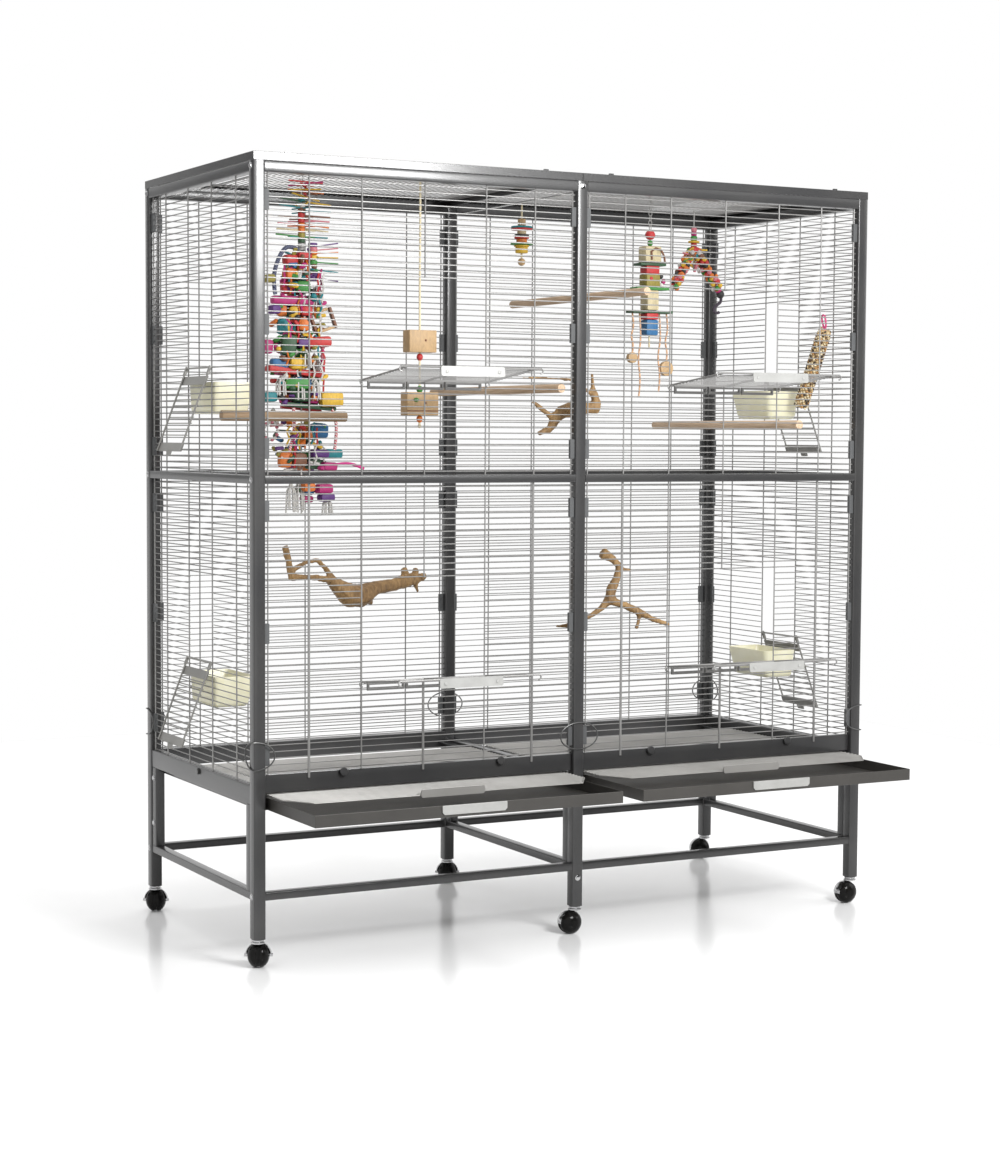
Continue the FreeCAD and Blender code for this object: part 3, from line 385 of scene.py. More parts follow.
heads = [(Vector((hand * outer_face, y, rail_bolt_z)), Vector((hand, 0, 0)))
         for hand in (-1, 1) for y in post_y.values()]
for low, high in islands("frame_bolts"):
    along = axis_of(min, low, high)
    out = Vector((0, 0, 0))
    out[along] = outward(low, high, along)
    heads.append(((low + high) / 2 - out * (high - low)[along] / 2, out))
bm = bmesh.new()
for foot, out in heads:
    disc(bm, foot, foot + out * washer_high, washer_radius, 24, 0.0003)
    disc(bm, foot + out * washer_high, foot + out * head_high, head_radius, 6, 0.0007)
piece(bm, "bright_bolts", "cage", chrome, "frame_bolts")

# Wire panels of the walls: drawn steel wire, fine rows welded behind thick uprights and coated silver grey.
# The lower front panels end in bent hooks that hang in the slots of the base rail.
wire_paint = hammered("wire_coat", 700.0, 0.15, (0.185, 0.182, 0.178), (0.25, 0.246, 0.240), (0.30, 0.50),
                      Metallic=0.35)
fine_wire = 0.0020
coat_swell = 1.25
hook_radius = 0.0015
hook_sunk = 0.0005
hook_reach = 0.02


def centre_line(low, high):
    along = axis_of(max, low, high)
    start, end = (low + high) / 2, (low + high) / 2
    start[along], end[along] = low[along], high[along]
    return along, start, end


def round_wires(bm, boxes):
    for low, high in boxes:
        along, start, end = centre_line(low, high)
        radius = sum((high - low)[axis] for axis in range(3) if axis != along) / 4
        rod(bm, start, end, radius * coat_swell if radius < fine_wire / 2 else radius)


for node in ("front_panels_upper", "front_panels_lower", "back_panels", "left_panels", "right_panels"):
    bm = bmesh.new()
    straight = []
    for low, high in islands(node):
        if max(high - low) > hook_reach:
            straight.append((low, high))
            continue
        x = (low.x + high.x) / 2
        y, z = low.y + hook_radius, low.z + hook_radius
        rod(bm, Vector((x, y, low.z + hook_sunk)), Vector((x, y, high.z)), hook_radius)
        rod(bm, Vector((x, low.y, z)), Vector((x, high.y, z)), hook_radius)
    round_wires(bm, straight)
    piece(bm, node + "_wire", "cage", wire_paint, node)

# Panel clips: short jaws of pressed sheet on both sides of each post, which grip the ends of the row wires
# from behind and in front, painted darker than the wires.
clip_paint = hammered("clip_coat", 500.0, 0.2, (0.060, 0.062, 0.063), (0.085, 0.087, 0.089), (0.40, 0.60),
                      Specular_IOR_Level=0.30)
clip_jaw = 0.006
clip_corner = 0.0012
bm = bmesh.new()
for low, high in islands("panel_clips"):
    thin = axis_of(min, low, high)
    if outward(low, high, thin) > 0:
        high[thin] += clip_jaw
    else:
        low[thin] -= clip_jaw
    bar(bm, low, high, thin, clip_corner, 2)
piece(bm, "clip_plates", "cage", clip_paint, "panel_clips")

# Lock rings: ovals of oiled spring wire, pushed over the lowest clips against the outer faces of the posts.
# Those at the corners are bent round the post.
spring_wire = marked("oiled_spring_wire", 120.0, (0.055, 0.055, 0.055), (0.10, 0.10, 0.098), (0.25, 0.42),
                     Metallic=0.5)
ring_half = (0.04575, 0.02875)
ring_height = 0.432
ring_out = 0.00155
ring_radius = 0.0015
ring_steps = 48


def tube(bm, points, radius, sides=8, closed=False):
    rings = []
    normal = None
    last = len(points) - 1
    for i, point in enumerate(points):
        before = points[i - 1] if closed or i else point
        after = points[(i + 1) % len(points)] if closed or i < last else point
        along = (after - before).normalized()
        if normal is None:
            normal = along.orthogonal().normalized()
        normal = (normal - along * normal.dot(along)).normalized()
        turn = Matrix((normal, along.cross(normal), along)).transposed().to_4x4()
        cap = not closed and i in (0, last)
        made = bmesh.ops.create_circle(bm, segments=sides, radius=radius, cap_ends=cap,
                                       matrix=Matrix.Translation(point) @ turn)
        rings.append({e for v in made["verts"] for e in v.link_edges})
    joins = list(zip(rings, rings[1:]))
    if closed:
        joins.append((rings[-1], rings[0]))
    for low, high in joins:
        bmesh.ops.bridge_loops(bm, edges=list(low | high))


bm = bmesh.new()
for row, y in post_y.items():
    face = -1 if row == "front" else 1
    wall_y = y + face * (half_post + ring_out)
    for hand in (-1, 0, 1):
        corner = hand * (outer_face + ring_out)
        path = []
        for i in range(ring_steps):
            a = math.tau * i / ring_steps
            across = ring_half[0] * math.cos(a)
            z = ring_height + ring_half[1] * math.sin(a)
            if not hand:
                path.append(Vector((across, wall_y, z)))
            elif across > 0:
                path.append(Vector((corner - hand * across, wall_y, z)))
            else:
                path.append(Vector((corner, wall_y + face * across, z)))
        tube(bm, path, ring_radius, closed=True)
piece(bm, "spring_rings", "cage", spring_wire, "lock_rings")

# Knobs: steel buttons painted with the frame, turned with a short neck on the front base rails and plain on
# the side rails. They are screwed on from behind.
knob_profile = ((0.0, 0.0032), (0.0030, 0.0032), (0.0030, 0.0080), (0.0038, 0.0090), (0.0068, 0.0090),
                (0.0078, 0.0078), (0.0080, 0.0))
knob_x = (0.18675, 0.55075)
knob_seat = (-0.2045, 0.389)
side_profile = ((0.0, 0.0070), (0.0036, 0.0070), (0.0047, 0.0058), (0.0050, 0.0))
side_seat = (0.748, 0.361)
bm = bmesh.new()
for hand in (-1, 1):
    for x in knob_x:
        turned(bm, knob_profile, (0, -1, 0), 32, Matrix.Translation((hand * x, *knob_seat)))
    turned(bm, side_profile, (hand, 0, 0), 28,
           Matrix.Translation((hand * side_seat[0], cage_middle.y, side_seat[1])))
painted(bm, "button_knobs", "rail_knobs")

# Hinge plates under the front flaps: three brackets under each, folded from sheet steel with a window in the
# middle and coated grey. They are clipped to the wires of the panel.
hinge_paint = hammered("hinge_coat", 500.0, 0.2, (0.10, 0.098, 0.095), (0.14, 0.138, 0.134), (0.30, 0.50),
                       Metallic=0.2)
hinge_edge = 0.0006
dress("flap_hinge_plates", hinge_paint, hinge_edge)

# Front landing flaps: a frame of thick coated rods with fine rows across, hinged on the lower edge of the
# opening and folded out. A pale plastic pull with two screws and a thumb latch lies along the free edge.
# Places are counted from the middle of the hinge, with the flap closed.
pull_plastic = marked("pale_plastic", 25.0, (0.25, 0.25, 0.24), (0.30, 0.30, 0.29), (0.30, 0.50))
flap_hinges = {"upper": 1.1886, "lower": 0.5716}
flap_bays = {"left": -0.36875, "right": 0.36875}
flap_y = -0.2115
flap_open = 84
flap_height = 0.2128
flap_half = 0.145
flap_ears = 0.012
flap_rod = 0.0020
flap_sides = 10
upright_x = (-0.142, 0.0, 0.142)
upright_z = (0.001, flap_height - 0.003)
row_pitch = 0.0133
flap_rows = 15
flap_row = 0.0008
row_y = -0.003
flap_hook = ((-0.004, 0.0), (0.001, -0.001), (0.003, -0.004), (0.002, -0.008), (-0.003, -0.010))
flap_hook_radius = 0.0017
free_edge = Vector((0.0, 0.0, flap_height))
pull_box = ((-0.071, -0.018, 0.0001), (0.071, 0.002, 0.0021))
latch_box = ((-0.011, -0.012, -0.0110), (0.011, -0.004, 0.0001))
screw_places = ((-0.058, -0.009, 0.0021), (0.058, -0.009, 0.0021))
screw_high = Vector((0.0, 0.0, 0.0012))
screw_radius = 0.0034
for row, hinge_z in flap_hinges.items():
    for column, x in flap_bays.items():
        name = "front_flap_" + row + "_" + column
        fold = Matrix.Translation((x, flap_y, hinge_z)) @ Matrix.Rotation(math.radians(flap_open), 4, "X")
        bm = bmesh.new()
        for half, z in ((flap_half, 0.0), (flap_half + flap_ears, flap_height - flap_rod)):
            rod(bm, Vector((-half, 0, z)), Vector((half, 0, z)), flap_rod, flap_sides)
            for hand in (-1, 1):
                hook = [Vector((hand * (half + across), back, z)) for across, back in flap_hook]
                tube(bm, hook, flap_hook_radius)
        for across in upright_x:
            foot, head = (Vector((across, 0, z)) for z in upright_z)
            rod(bm, foot, head, flap_rod, flap_sides)
        for k in range(1, flap_rows + 1):
            z = k * row_pitch
            rod(bm, Vector((-flap_half, row_y, z)), Vector((flap_half, row_y, z)), flap_row)
        bmesh.ops.transform(bm, matrix=fold, verts=bm.verts)
        piece(bm, name + "_wire", name, wire_paint, name)
        bm = bmesh.new()
        pull_low, pull_high = (free_edge + Vector(corner) for corner in pull_box)
        bar(bm, pull_low, pull_high, 2, 0.004, 4)
        for place in screw_places:
            head = free_edge + Vector(place)
            disc(bm, head, head + screw_high, screw_radius, 20)
        latch_low, latch_high = (free_edge + Vector(corner) for corner in latch_box)
        bar(bm, latch_low, latch_high, 0, 0.0015, 2)
        bmesh.ops.transform(bm, matrix=fold, verts=bm.verts)
        piece(bm, name + "_pull", name, pull_plastic, name + "_handle")

# Side feeder flaps: two coated rods with rungs and two pressed plates, hinged under the feeder opening on
# hooked ends and folded out and down. Places are counted from the middle of the hinge, with the flap closed.
feeder_paint = hammered("feeder_coat", 450.0, 0.2, (0.20, 0.196, 0.185), (0.27, 0.265, 0.25), (0.35, 0.55),
                        Metallic=0.2)
feeder_hinges = {"upper": 1.2152, "lower": 0.5982}
feeder_x = 0.746
feeder_open = 159
feeder_height = 14 * row_pitch
feeder_half = 0.072
feeder_side = 0.069
ear_half = (0.003, 0.0035)
ear_z = (-0.003, 0.015)
plate_out = 0.0027
plate_sheet = 0.0015
plate_low = 0.018
plate_high = 0.019
plate_half = 0.071
tab_half = 0.013
tab_z = (-0.002, 0.010)
rung_out = 0.003
rung_radius = 0.0013
feeder_plates = ((plate_low, plate_low + plate_high, plate_half),
                 (feeder_height - plate_high, feeder_height, plate_half),
                 (feeder_height + tab_z[0], feeder_height + tab_z[1], tab_half))
for row, hinge_z in feeder_hinges.items():
    for column, out in (("left", -1), ("right", 1)):
        name = "feeder_flap_" + row + "_" + column
        fold = (Matrix.Translation((out * feeder_x, cage_middle.y, hinge_z))
                @ Matrix.Rotation(math.radians(out * feeder_open), 4, "Y"))
        bm = bmesh.new()
        rod(bm, Vector((0, -feeder_half, 0)), Vector((0, feeder_half, 0)), flap_rod, flap_sides)
        for y in (-feeder_side, feeder_side):
            rod(bm, Vector((0, y, upright_z[0])), Vector((0, y, feeder_height)), flap_rod, flap_sides)
            bar(bm, (-ear_half[0], y - ear_half[1], ear_z[0]), (ear_half[0], y + ear_half[1], ear_z[1]),
                2, 0.0015, 2)
        for low, high, half in feeder_plates:
            x = out * plate_out
            bar(bm, (x - plate_sheet / 2, -half, low), (x + plate_sheet / 2, half, high), 0, 0.0030)
        z = plate_low + plate_high + row_pitch / 2
        while z < feeder_height - plate_high - row_pitch / 3:
            x = out * rung_out
            rod(bm, Vector((x, -plate_half, z)), Vector((x, plate_half, z)), rung_radius)
            z += row_pitch
        bmesh.ops.transform(bm, matrix=fold, verts=bm.verts)
        piece(bm, name + "_wire", name, feeder_paint, name)

# Dirt trays: shallow pans folded from sheet steel with a satin dark coat, which slide on the runners of the
# stand. Each has a pale plastic pull on its front edge.
tray_paint = hammered("tray_coat", 600.0, 0.12, (0.030, 0.028, 0.025), (0.043, 0.040, 0.036), (0.35, 0.55),
                      Metallic=0.1)
tray_edge = 0.0006
tray_pull_edge = 0.0008
for side in ("left", "right"):
    dress("tray_" + side, tray_paint, tray_edge)
    dress("tray_" + side + "_handle", pull_plastic, tray_pull_edge)

# Floor grates: close round bars welded on two bent side rods, coated pale grey, which slide over the trays.
# A sheet pull is welded to the middle of the front. The side rods are given by place inward, back and up.
grate_paint = hammered("grate_coat", 700.0, 0.12, (0.215, 0.210, 0.198), (0.28, 0.273, 0.260), (0.30, 0.50),
                       Metallic=0.2)
grate_depth = 0.600
grate_corner = (0.040, 0.060)
grate_bar = 0.0015
grate_pull_half = 0.0725
grate_pull_sheet = 0.003
side_rod = ((0.004, grate_depth, grate_bar), (0.004, 0.080, grate_bar), (0.002, 0.060, 3 * grate_bar),
            (0.040, 0.002, 3 * grate_bar), (0.050, 0.0015, 3 * grate_bar))
for side in ("left", "right"):
    name = "floor_grate_" + side
    low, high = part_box(name)
    front = low.y + grate_pull_sheet
    bars_z = low.z + 3 * grate_bar
    bm = bmesh.new()
    for x, inward in ((low.x, 1), (high.x, -1)):
        tube(bm, [Vector((x + inward * across, front + back, low.z + up)) for across, back, up in side_rod],
             grate_bar)
    for i in range(int((grate_depth - 2 * grate_bar) / row_pitch) + 1):
        back = i * row_pitch
        short = max(0.0, 1 - back / grate_corner[1]) * grate_corner[0]
        y = front + grate_bar + back
        rod(bm, Vector((low.x + short, y, bars_z)), Vector((high.x - short, y, bars_z)), grate_bar, 8)
    middle = (low.x + high.x) / 2
    bar(bm, (middle - grate_pull_half, low.y, low.z), (middle + grate_pull_half, front, high.z), 1, 0.0050, 4)
    piece(bm, name + "_bars", name, grate_paint, name)

# Roof: two lids of folded sheet, held on the top rails by wing screws, with close wires under thicker bars
# inside them, and a bright tie rod from the front middle post to the back one.
roof_paint = hammered("roof_wire_coat", 700.0, 0.15, (0.22, 0.215, 0.21), (0.30, 0.295, 0.29), (0.30, 0.50),
                      Metallic=0.3)
bright_wire = marked("bright_steel_rod", 120.0, (0.42, 0.42, 0.42), (0.60, 0.60, 0.59), (0.15, 0.32),
                     Metallic=1.0)
tie_height = 1.595
tie_radius = 0.002
flange_radius = 0.006
flange_high = 0.0018
wing_half = 0.0012
wing_corner = 0.0014
dress("roof_lids", frame_paint, sheet_edge)
bm = bmesh.new()
round_wires(bm, islands("roof_meshes"))
piece(bm, "roof_wires", "cage", roof_paint, "roof_meshes")
bm = bmesh.new()
low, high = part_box("tie_rod")
rod(bm, Vector((0, low.y, tie_height)), Vector((0, high.y, tie_height)), tie_radius, 12)
piece(bm, "bright_tie_rod", "cage", bright_wire, "tie_rod")
bm = bmesh.new()
for low, high in islands("thumb_screws"):
    x, y = (low.x + high.x) / 2, (low.y + high.y) / 2
    flange_top = low.z + flange_high
    disc(bm, Vector((x, y, low.z)), Vector((x, y, flange_top)), flange_radius)
    bar(bm, (x - flange_radius, y - wing_half, flange_top), (x + flange_radius, y + wing_half, high.z), 1,
        wing_corner)
painted(bm, "wing_screws", "thumb_screws")

# Feeder cups: moulded in cream translucent plastic with tapered walls, a rolled rim and a hook edge that
# stands against the wires.
cup_plastic = marked("cream_plastic", 18.0, (0.66, 0.63, 0.45), (0.72, 0.70, 0.55), (0.25, 0.45),
                     Subsurface_Weight=0.35, Subsurface_Radius=(0.02, 0.018, 0.010))
cup_size = Vector((0.090, 0.160, 0.066))
cup_back = 0.7385
cup_drop = 0.030
cup_taper = 0.012
cup_corner = 0.010
cup_wall = 0.0022
cup_floor = 0.004
cup_inside = (0.86, 0.84)
inside_back = 0.003
cup_lip = 0.0006


def at_rim(part, back, rim):
    return all(abs(v.co.z - rim) < 1e-5 and abs(v.co.x - back) < 0.1 for v in part.verts)


bm = bmesh.new()
for out in (-1, 1):
    for hinge_z in feeder_hinges.values():
        rim = hinge_z - cup_drop
        back = out * cup_back
        half_way = rim - cup_size.z / 2
        middle = Vector((back - out * cup_size.x / 2, cage_middle.y, half_way))
        place = Matrix.Translation(middle) @ Matrix.Diagonal((*cup_size, 1.0))
        made = bmesh.ops.create_cube(bm, size=1.0, matrix=place)
        for vert in made["verts"]:
            if vert.co.z < half_way:
                vert.co.y += math.copysign(cup_taper, cage_middle.y - vert.co.y)
                if abs(vert.co.x) < abs(middle.x):
                    vert.co.x += out * cup_taper
        edges = {e for v in made["verts"] for e in v.link_edges}
        soften(bm, [e for e in edges if min(v.co.z for v in e.verts) < half_way], cup_corner, 4)
        top = [f for f in bm.faces if at_rim(f, back, rim) and f.calc_area() > 0.008]
        bmesh.ops.inset_region(bm, faces=top, thickness=cup_wall, depth=0.0)
        inner = bmesh.ops.extrude_discrete_faces(bm, faces=top)["faces"][0]
        bmesh.ops.translate(bm, verts=inner.verts, vec=(0, 0, cup_floor - cup_size.z))
        inner_back = back - out * inside_back
        centre = inner.calc_center_median()
        for vert in inner.verts:
            vert.co.x = inner_back + (vert.co.x - inner_back) * cup_inside[0]
            vert.co.y = centre.y + (vert.co.y - centre.y) * cup_inside[1]
        lip = [e for e in bm.edges
               if len(e.link_faces) == 2 and at_rim(e, back, rim) and e.calc_face_angle() > 0.8]
        soften(bm, lip, cup_lip)
piece(bm, "cream_cups", "cage", cup_plastic, "feeder_cups")

# Straight perches: round bars of pale wood, cut square with a broken edge. Three are held by the wires of the
# front and back, and a darker one by those of the left side.
perch_sides = 28
perch_edge = 0.0012

# Wood grain: drawn-out fibre lines, slower clouds of growth and a relief along the fibre
grain, given, place = new_group("wood_grain",
                                [("Stretch", "Vector", (1.0, 1.0, 1.0)), ("Lines", "Float", 90.0)],
                                [("Line", "Float"), ("Knot", "Float"), ("Normal", "Vector")])
drawn = put(grain, "VectorMath", {0: place, 1: given["Stretch"]}, operation="MULTIPLY").outputs["Vector"]
fibre = put(grain, "TexNoise", {"Vector": drawn, "Scale": given["Lines"], "Detail": 6.0, "Roughness": 0.65,
                                "Distortion": 0.6})
knot = put(grain, "TexNoise", {"Vector": drawn, "Scale": 14.0, "Detail": 3.0})
relief = put(grain, "Bump", {"Height": fibre.outputs["Fac"], "Strength": 0.5, "Distance": 0.0008})
put_out(grain, Line=fibre.outputs["Fac"], Knot=knot.outputs["Fac"], Normal=relief.outputs["Normal"])


def wood_finish(name, stretch, lines, dark, middle, pale):
    finish, tree = new_finish(name)
    cut = use_group(tree, grain, Stretch=stretch, Lines=lines)
    streak = ramp(tree, cut["Line"], (0.30, dark), (0.50, middle), (0.70, pale))
    cloud = ramp(tree, cut["Knot"], (0.35, dark), (0.65, pale))
    mixed = put(tree, "Mix", {"Factor": 0.35, 6: streak, 7: cloud}, data_type="RGBA")
    coat(tree, Base_Color=mixed.outputs[2], Roughness=level(tree, cut["Line"], 0.55, 0.75),
         Normal=cut["Normal"])
    return finish


perch_wood = wood_finish("perch_wood_y", (1.0, 0.06, 1.0), 220.0, (0.26, 0.165, 0.095), (0.47, 0.33, 0.21),
                         (0.60, 0.46, 0.33))
side_wood = wood_finish("perch_wood_x", (0.06, 1.0, 1.0), 220.0, (0.12, 0.072, 0.036), (0.22, 0.145, 0.080),
                        (0.32, 0.22, 0.13))
bm = bmesh.new()
side_perch = bmesh.new()
for low, high in islands("straight_perches"):
    along, start, end = centre_line(low, high)
    disc(bm if along == 1 else side_perch, start, end, (high.z - low.z) / 2, perch_sides, perch_edge)
piece(bm, "round_perches", "cage", perch_wood, "straight_perches")
piece(side_perch, "side_perch", "cage", side_wood, "straight_perches")

# Root-wood perches: crooked forks of sand-blasted vine root. Two are screwed to the front middle post from
# inside, and the long one to the back panel.
root_wood = wood_finish("root_wood", (1.0, 1.0, 0.35), 130.0, (0.080, 0.041, 0.016), (0.25, 0.145, 0.054),
                        (0.40, 0.25, 0.105))
bm = bmesh.new()
bm.from_mesh(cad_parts["root_perches"].data)
bmesh.ops.remove_doubles(bm, verts=bm.verts, dist=1e-5)
roots = piece(bm, "vine_roots", "cage", root_wood, "root_perches", angle=180)
voxel = roots.modifiers.new("close_grown", "REMESH")
voxel.mode = "VOXEL"
voxel.voxel_size = 0.0035
voxel.use_smooth_shade = True
relax = roots.modifiers.new("worn_round", "SMOOTH")
relax.factor = 0.6
relax.iterations = 8
bark = bpy.data.textures.new("root_ridges", "CLOUDS")
bark.noise_scale = 0.016
ridge = roots.modifiers.new("ridges", "DISPLACE")
ridge.texture = bark
ridge.texture_coords = "LOCAL"
ridge.strength = 0.0035
ridge.mid_level = 0.35

# Seed stick: seeds baked round a wooden skewer, clipped to the right side panel, with a loop of pink cord at
# the top. The loop is given along the stick and across it.
seed_colours = ((0.62, 0.46, 0.24), (0.72, 0.60, 0.38), (0.12, 0.065, 0.035), (0.03, 0.02, 0.015),
                (0.78, 0.68, 0.48), (0.50, 0.26, 0.09))
dough_colour = (0.50, 0.36, 0.18)
loop_colour = (0.62, 0.05, 0.20)
stick_low = Vector((0.7200, -0.0075, 1.150))
stick_high = Vector((0.7200, -0.0995, 1.326))
stick_radius = 0.0146
seed_seat = 0.0160
seed_taper = 0.03
seed_count = 420
seed_turn = 2.39996
seed_size = Matrix.Diagonal((0.0040, 0.0027, 0.0020, 1.0))
stick_loop = ((-0.004, 0.0), (0.010, 0.002), (0.020, 0.009), (0.028, 0.017), (0.027, 0.024), (0.020, 0.026),
              (0.011, 0.019), (0.004, 0.009), (-0.004, 0.002))
loop_radius = 0.0022


def dyed_mesh():
    bm = bmesh.new()
    bm.loops.layers.float_color.new("dye")
    bm.faces.layers.int.new("dyed")
    return bm


def dye(bm, colour):
    tint = bm.loops.layers.float_color["dye"]
    dyed = bm.faces.layers.int["dyed"]
    for face in bm.faces:
        if not face[dyed]:
            face[dyed] = 1
            for loop in face.loops:
                loop[tint] = (*colour, 1.0)


def dyed_colour(tree, shade):
    tint = put(tree, "VertexColor", layer_name="dye")
    mixed = put(tree, "Mix", {"Factor": 1.0, 6: tint.outputs["Color"], 7: shade}, data_type="RGBA",
                blend_type="MULTIPLY")
    return mixed.outputs[2]


seed_finish, tree = new_finish("baked_seed")
mark = use_group(tree, marks, Scale=300.0)["Mark"]
shade = ramp(tree, mark, (0.3, (0.72, 0.70, 0.66)), (0.7, (1.0, 1.0, 1.0)))
coat(tree, Base_Color=dyed_colour(tree, shade), Roughness=level(tree, mark, 0.35, 0.6))
random.seed(11)
bm = dyed_mesh()
line = stick_high - stick_low
along = line.normalized()
side = Vector((1, 0, 0))
across = along.cross(side)
disc(bm, stick_low, stick_high, stick_radius, 16, 0.003)
dye(bm, dough_colour)
for i in range(seed_count):
    a = i * seed_turn
    part = (i + 0.5) / seed_count
    out = side * math.cos(a) + across * math.sin(a)
    seat = stick_low + line * part + out * (seed_seat - seed_taper * max(0.0, part - 0.9))
    turn = out.to_track_quat("Z", "Y").to_matrix().to_4x4()
    spun = Matrix.Rotation(random.uniform(0, math.tau), 4, "Z")
    bmesh.ops.create_icosphere(bm, subdivisions=1, radius=1.0,
                               matrix=Matrix.Translation(seat) @ turn @ spun @ seed_size)
    dye(bm, seed_colours[random.randrange(len(seed_colours))])
tube(bm, [stick_high + along * reach + across * sway for reach, sway in stick_loop], loop_radius)
dye(bm, loop_colour)
piece(bm, "seed_bar", "cage", seed_finish, "seed_stick", angle=60)

# Large toy: dyed sticks, blocks, beads and rope ends threaded on a cord, which hangs from a wire ring in the
# roof. Places are in millimetres, sideways from the cord, behind it and up from the floor. Blocks are given
# by their left, right, upper and lower edges, tufts of rope ends by their place and length.
dyed_wood, tree = new_finish("dyed_toy_wood")
cut = use_group(tree, grain, Stretch=(1.0, 1.0, 0.3), Lines=260.0)
shade = ramp(tree, cut["Line"], (0.3, (0.46, 0.45, 0.44)), (0.65, (0.68, 0.67, 0.66)))
coat(tree, Base_Color=dyed_colour(tree, shade), Roughness=level(tree, cut["Line"], 0.45, 0.7),
     Normal=cut["Normal"])
red, orange, yellow = (0.62, 0.03, 0.03), (0.80, 0.20, 0.02), (0.80, 0.50, 0.03)
green, dark_green, teal = (0.05, 0.30, 0.05), (0.03, 0.10, 0.04), (0.01, 0.26, 0.30)
blue, purple, magenta = (0.02, 0.16, 0.38), (0.12, 0.03, 0.22), (0.55, 0.02, 0.20)
pink, olive, cream = (0.72, 0.22, 0.28), (0.34, 0.28, 0.04), (0.72, 0.62, 0.38)
white, black, brown = (0.78, 0.77, 0.74), (0.03, 0.03, 0.03), (0.24, 0.10, 0.05)
raw_wood, steel = (0.60, 0.40, 0.20), (0.45, 0.45, 0.44)
tower = Vector((-0.5282, 0.0645, 0.0))
hook_ring = (0.0035, 0.0065, 0.0011)
tangle_colours = (red, magenta, orange, red, yellow, orange, brown, red, yellow)
core_colours = (teal, white, brown, red, red, orange, orange, olive, dark_green, steel, steel)
left_sticks = ((1572, dark_green), (1559, teal), (1536, brown), (1522, pink), (1511, cream), (1499, green))
right_sticks = ((1566, yellow), (1550, teal), (1540, brown), (1531, pink), (1521, orange), (1512, cream),
                (1497, teal))
fan_sticks = ((1479, purple), (1470, pink), (1463, orange), (1453, yellow), (1442, green), (1425, teal),
              (1408, purple))
tower_blocks = ((-48, -18, 1456, 1434, red), (-30, 5, 1444, 1424, yellow), (-46, -8, 1428, 1404, orange),
                (-18, 8, 1462, 1446, red), (8, 36, 1426, 1408, purple), (-89, -66, 1413, 1396, olive),
                (-20, 12, 1402, 1376, green), (-46, -22, 1400, 1374, red), (-70, 23, 1370, 1351, magenta),
                (-81, -58, 1349, 1330, purple), (-54, -34, 1350, 1326, orange),
                (-32, -12, 1348, 1322, yellow),
                (-10, 16, 1349, 1328, red), (-53, -15, 1323, 1288, teal), (-12, 14, 1326, 1296, orange),
                (-53, -20, 1288, 1243, dark_green), (-88, -67, 1277, 1247, magenta),
                (-16, 30, 1280, 1262, purple), (8, 60, 1285, 1262, red), (-18, 10, 1260, 1240, green),
                (-75, -36, 1238, 1215, blue), (-36, 0, 1240, 1214, yellow), (4, 34, 1236, 1220, brown),
                (-85, 49, 1217, 1203, red), (-45, 10, 1196, 1172, green), (12, 40, 1200, 1176, dark_green),
                (-30, 20, 1172, 1146, dark_green), (35, 88, 1168, 1136, yellow), (0, 38, 1160, 1143, magenta),
                (-92, -62, 1166, 1145, teal), (-48, 77, 1141, 1132, dark_green), (21, 61, 1101, 1069, blue),
                (5, 21, 1085, 1065, orange), (14, 54, 1045, 1028, purple), (54, 94, 1046, 1026, teal),
                (-57, -28, 1040, 1006, orange), (-28, 3, 1038, 1008, brown), (10, 56, 1024, 1002, dark_green),
                (40, 76, 1018, 1000, magenta), (-5, 22, 975, 955, orange), (33, 72, 971, 950, magenta),
                (36, 70, 950, 934, purple))
mixed_colours = (red, orange, dark_green, yellow, purple, green, teal, magenta, white, blue, brown, black,
                 olive)
strand_colours = (white, red, yellow, white, magenta, teal, orange)
rope_tufts = ((34, -6, 1395, 52), (-12, -16, 1200, 52), (24, -18, 1196, 48), (-52, -10, 1200, 46),
              (2, -20, 1256, 40), (-26, -4, 975, 66), (-4, 4, 980, 70), (58, -4, 940, 36), (36, 14, 1250, 50),
              (-60, 12, 1132, 40))
spiral = 2.4
random.seed(5)


def block(bm, middle, size, colour, turn=0.0, tilt=0.0, soft=0.22, steps=2):
    place = (Matrix.Translation(middle) @ Matrix.Rotation(turn, 4, "Z") @ Matrix.Rotation(tilt, 4, "Y")
             @ Matrix.Diagonal((*size, 1.0)))
    made = bmesh.ops.create_cube(bm, size=1.0, matrix=place)
    soften(bm, {e for v in made["verts"] for e in v.link_edges}, min(size) * soft, steps)
    dye(bm, colour)


def bead(bm, middle, radius, colour, tall=None):
    place = Matrix.Translation(middle) @ Matrix.Diagonal((radius, radius, tall or radius, 1.0))
    bmesh.ops.create_uvsphere(bm, u_segments=10, v_segments=7, radius=1.0, matrix=place)
    dye(bm, colour)


def wire_ring(bm, middle, wide, tall, radius, turn=0.0):
    side = Vector((math.cos(turn), math.sin(turn), 0.0))
    path = [middle + side * wide * math.cos(a) + Vector((0, 0, tall * math.sin(a)))
            for a in (math.tau * i / 20 for i in range(20))]
    tube(bm, path, radius, 6, closed=True)
    dye(bm, steel)


def from_cord(across, back, up):
    return tower + Vector((across, back, up)) / 1000


def toy(bm, name, body):
    piece(bm, name, body, dyed_wood, body, angle=40)


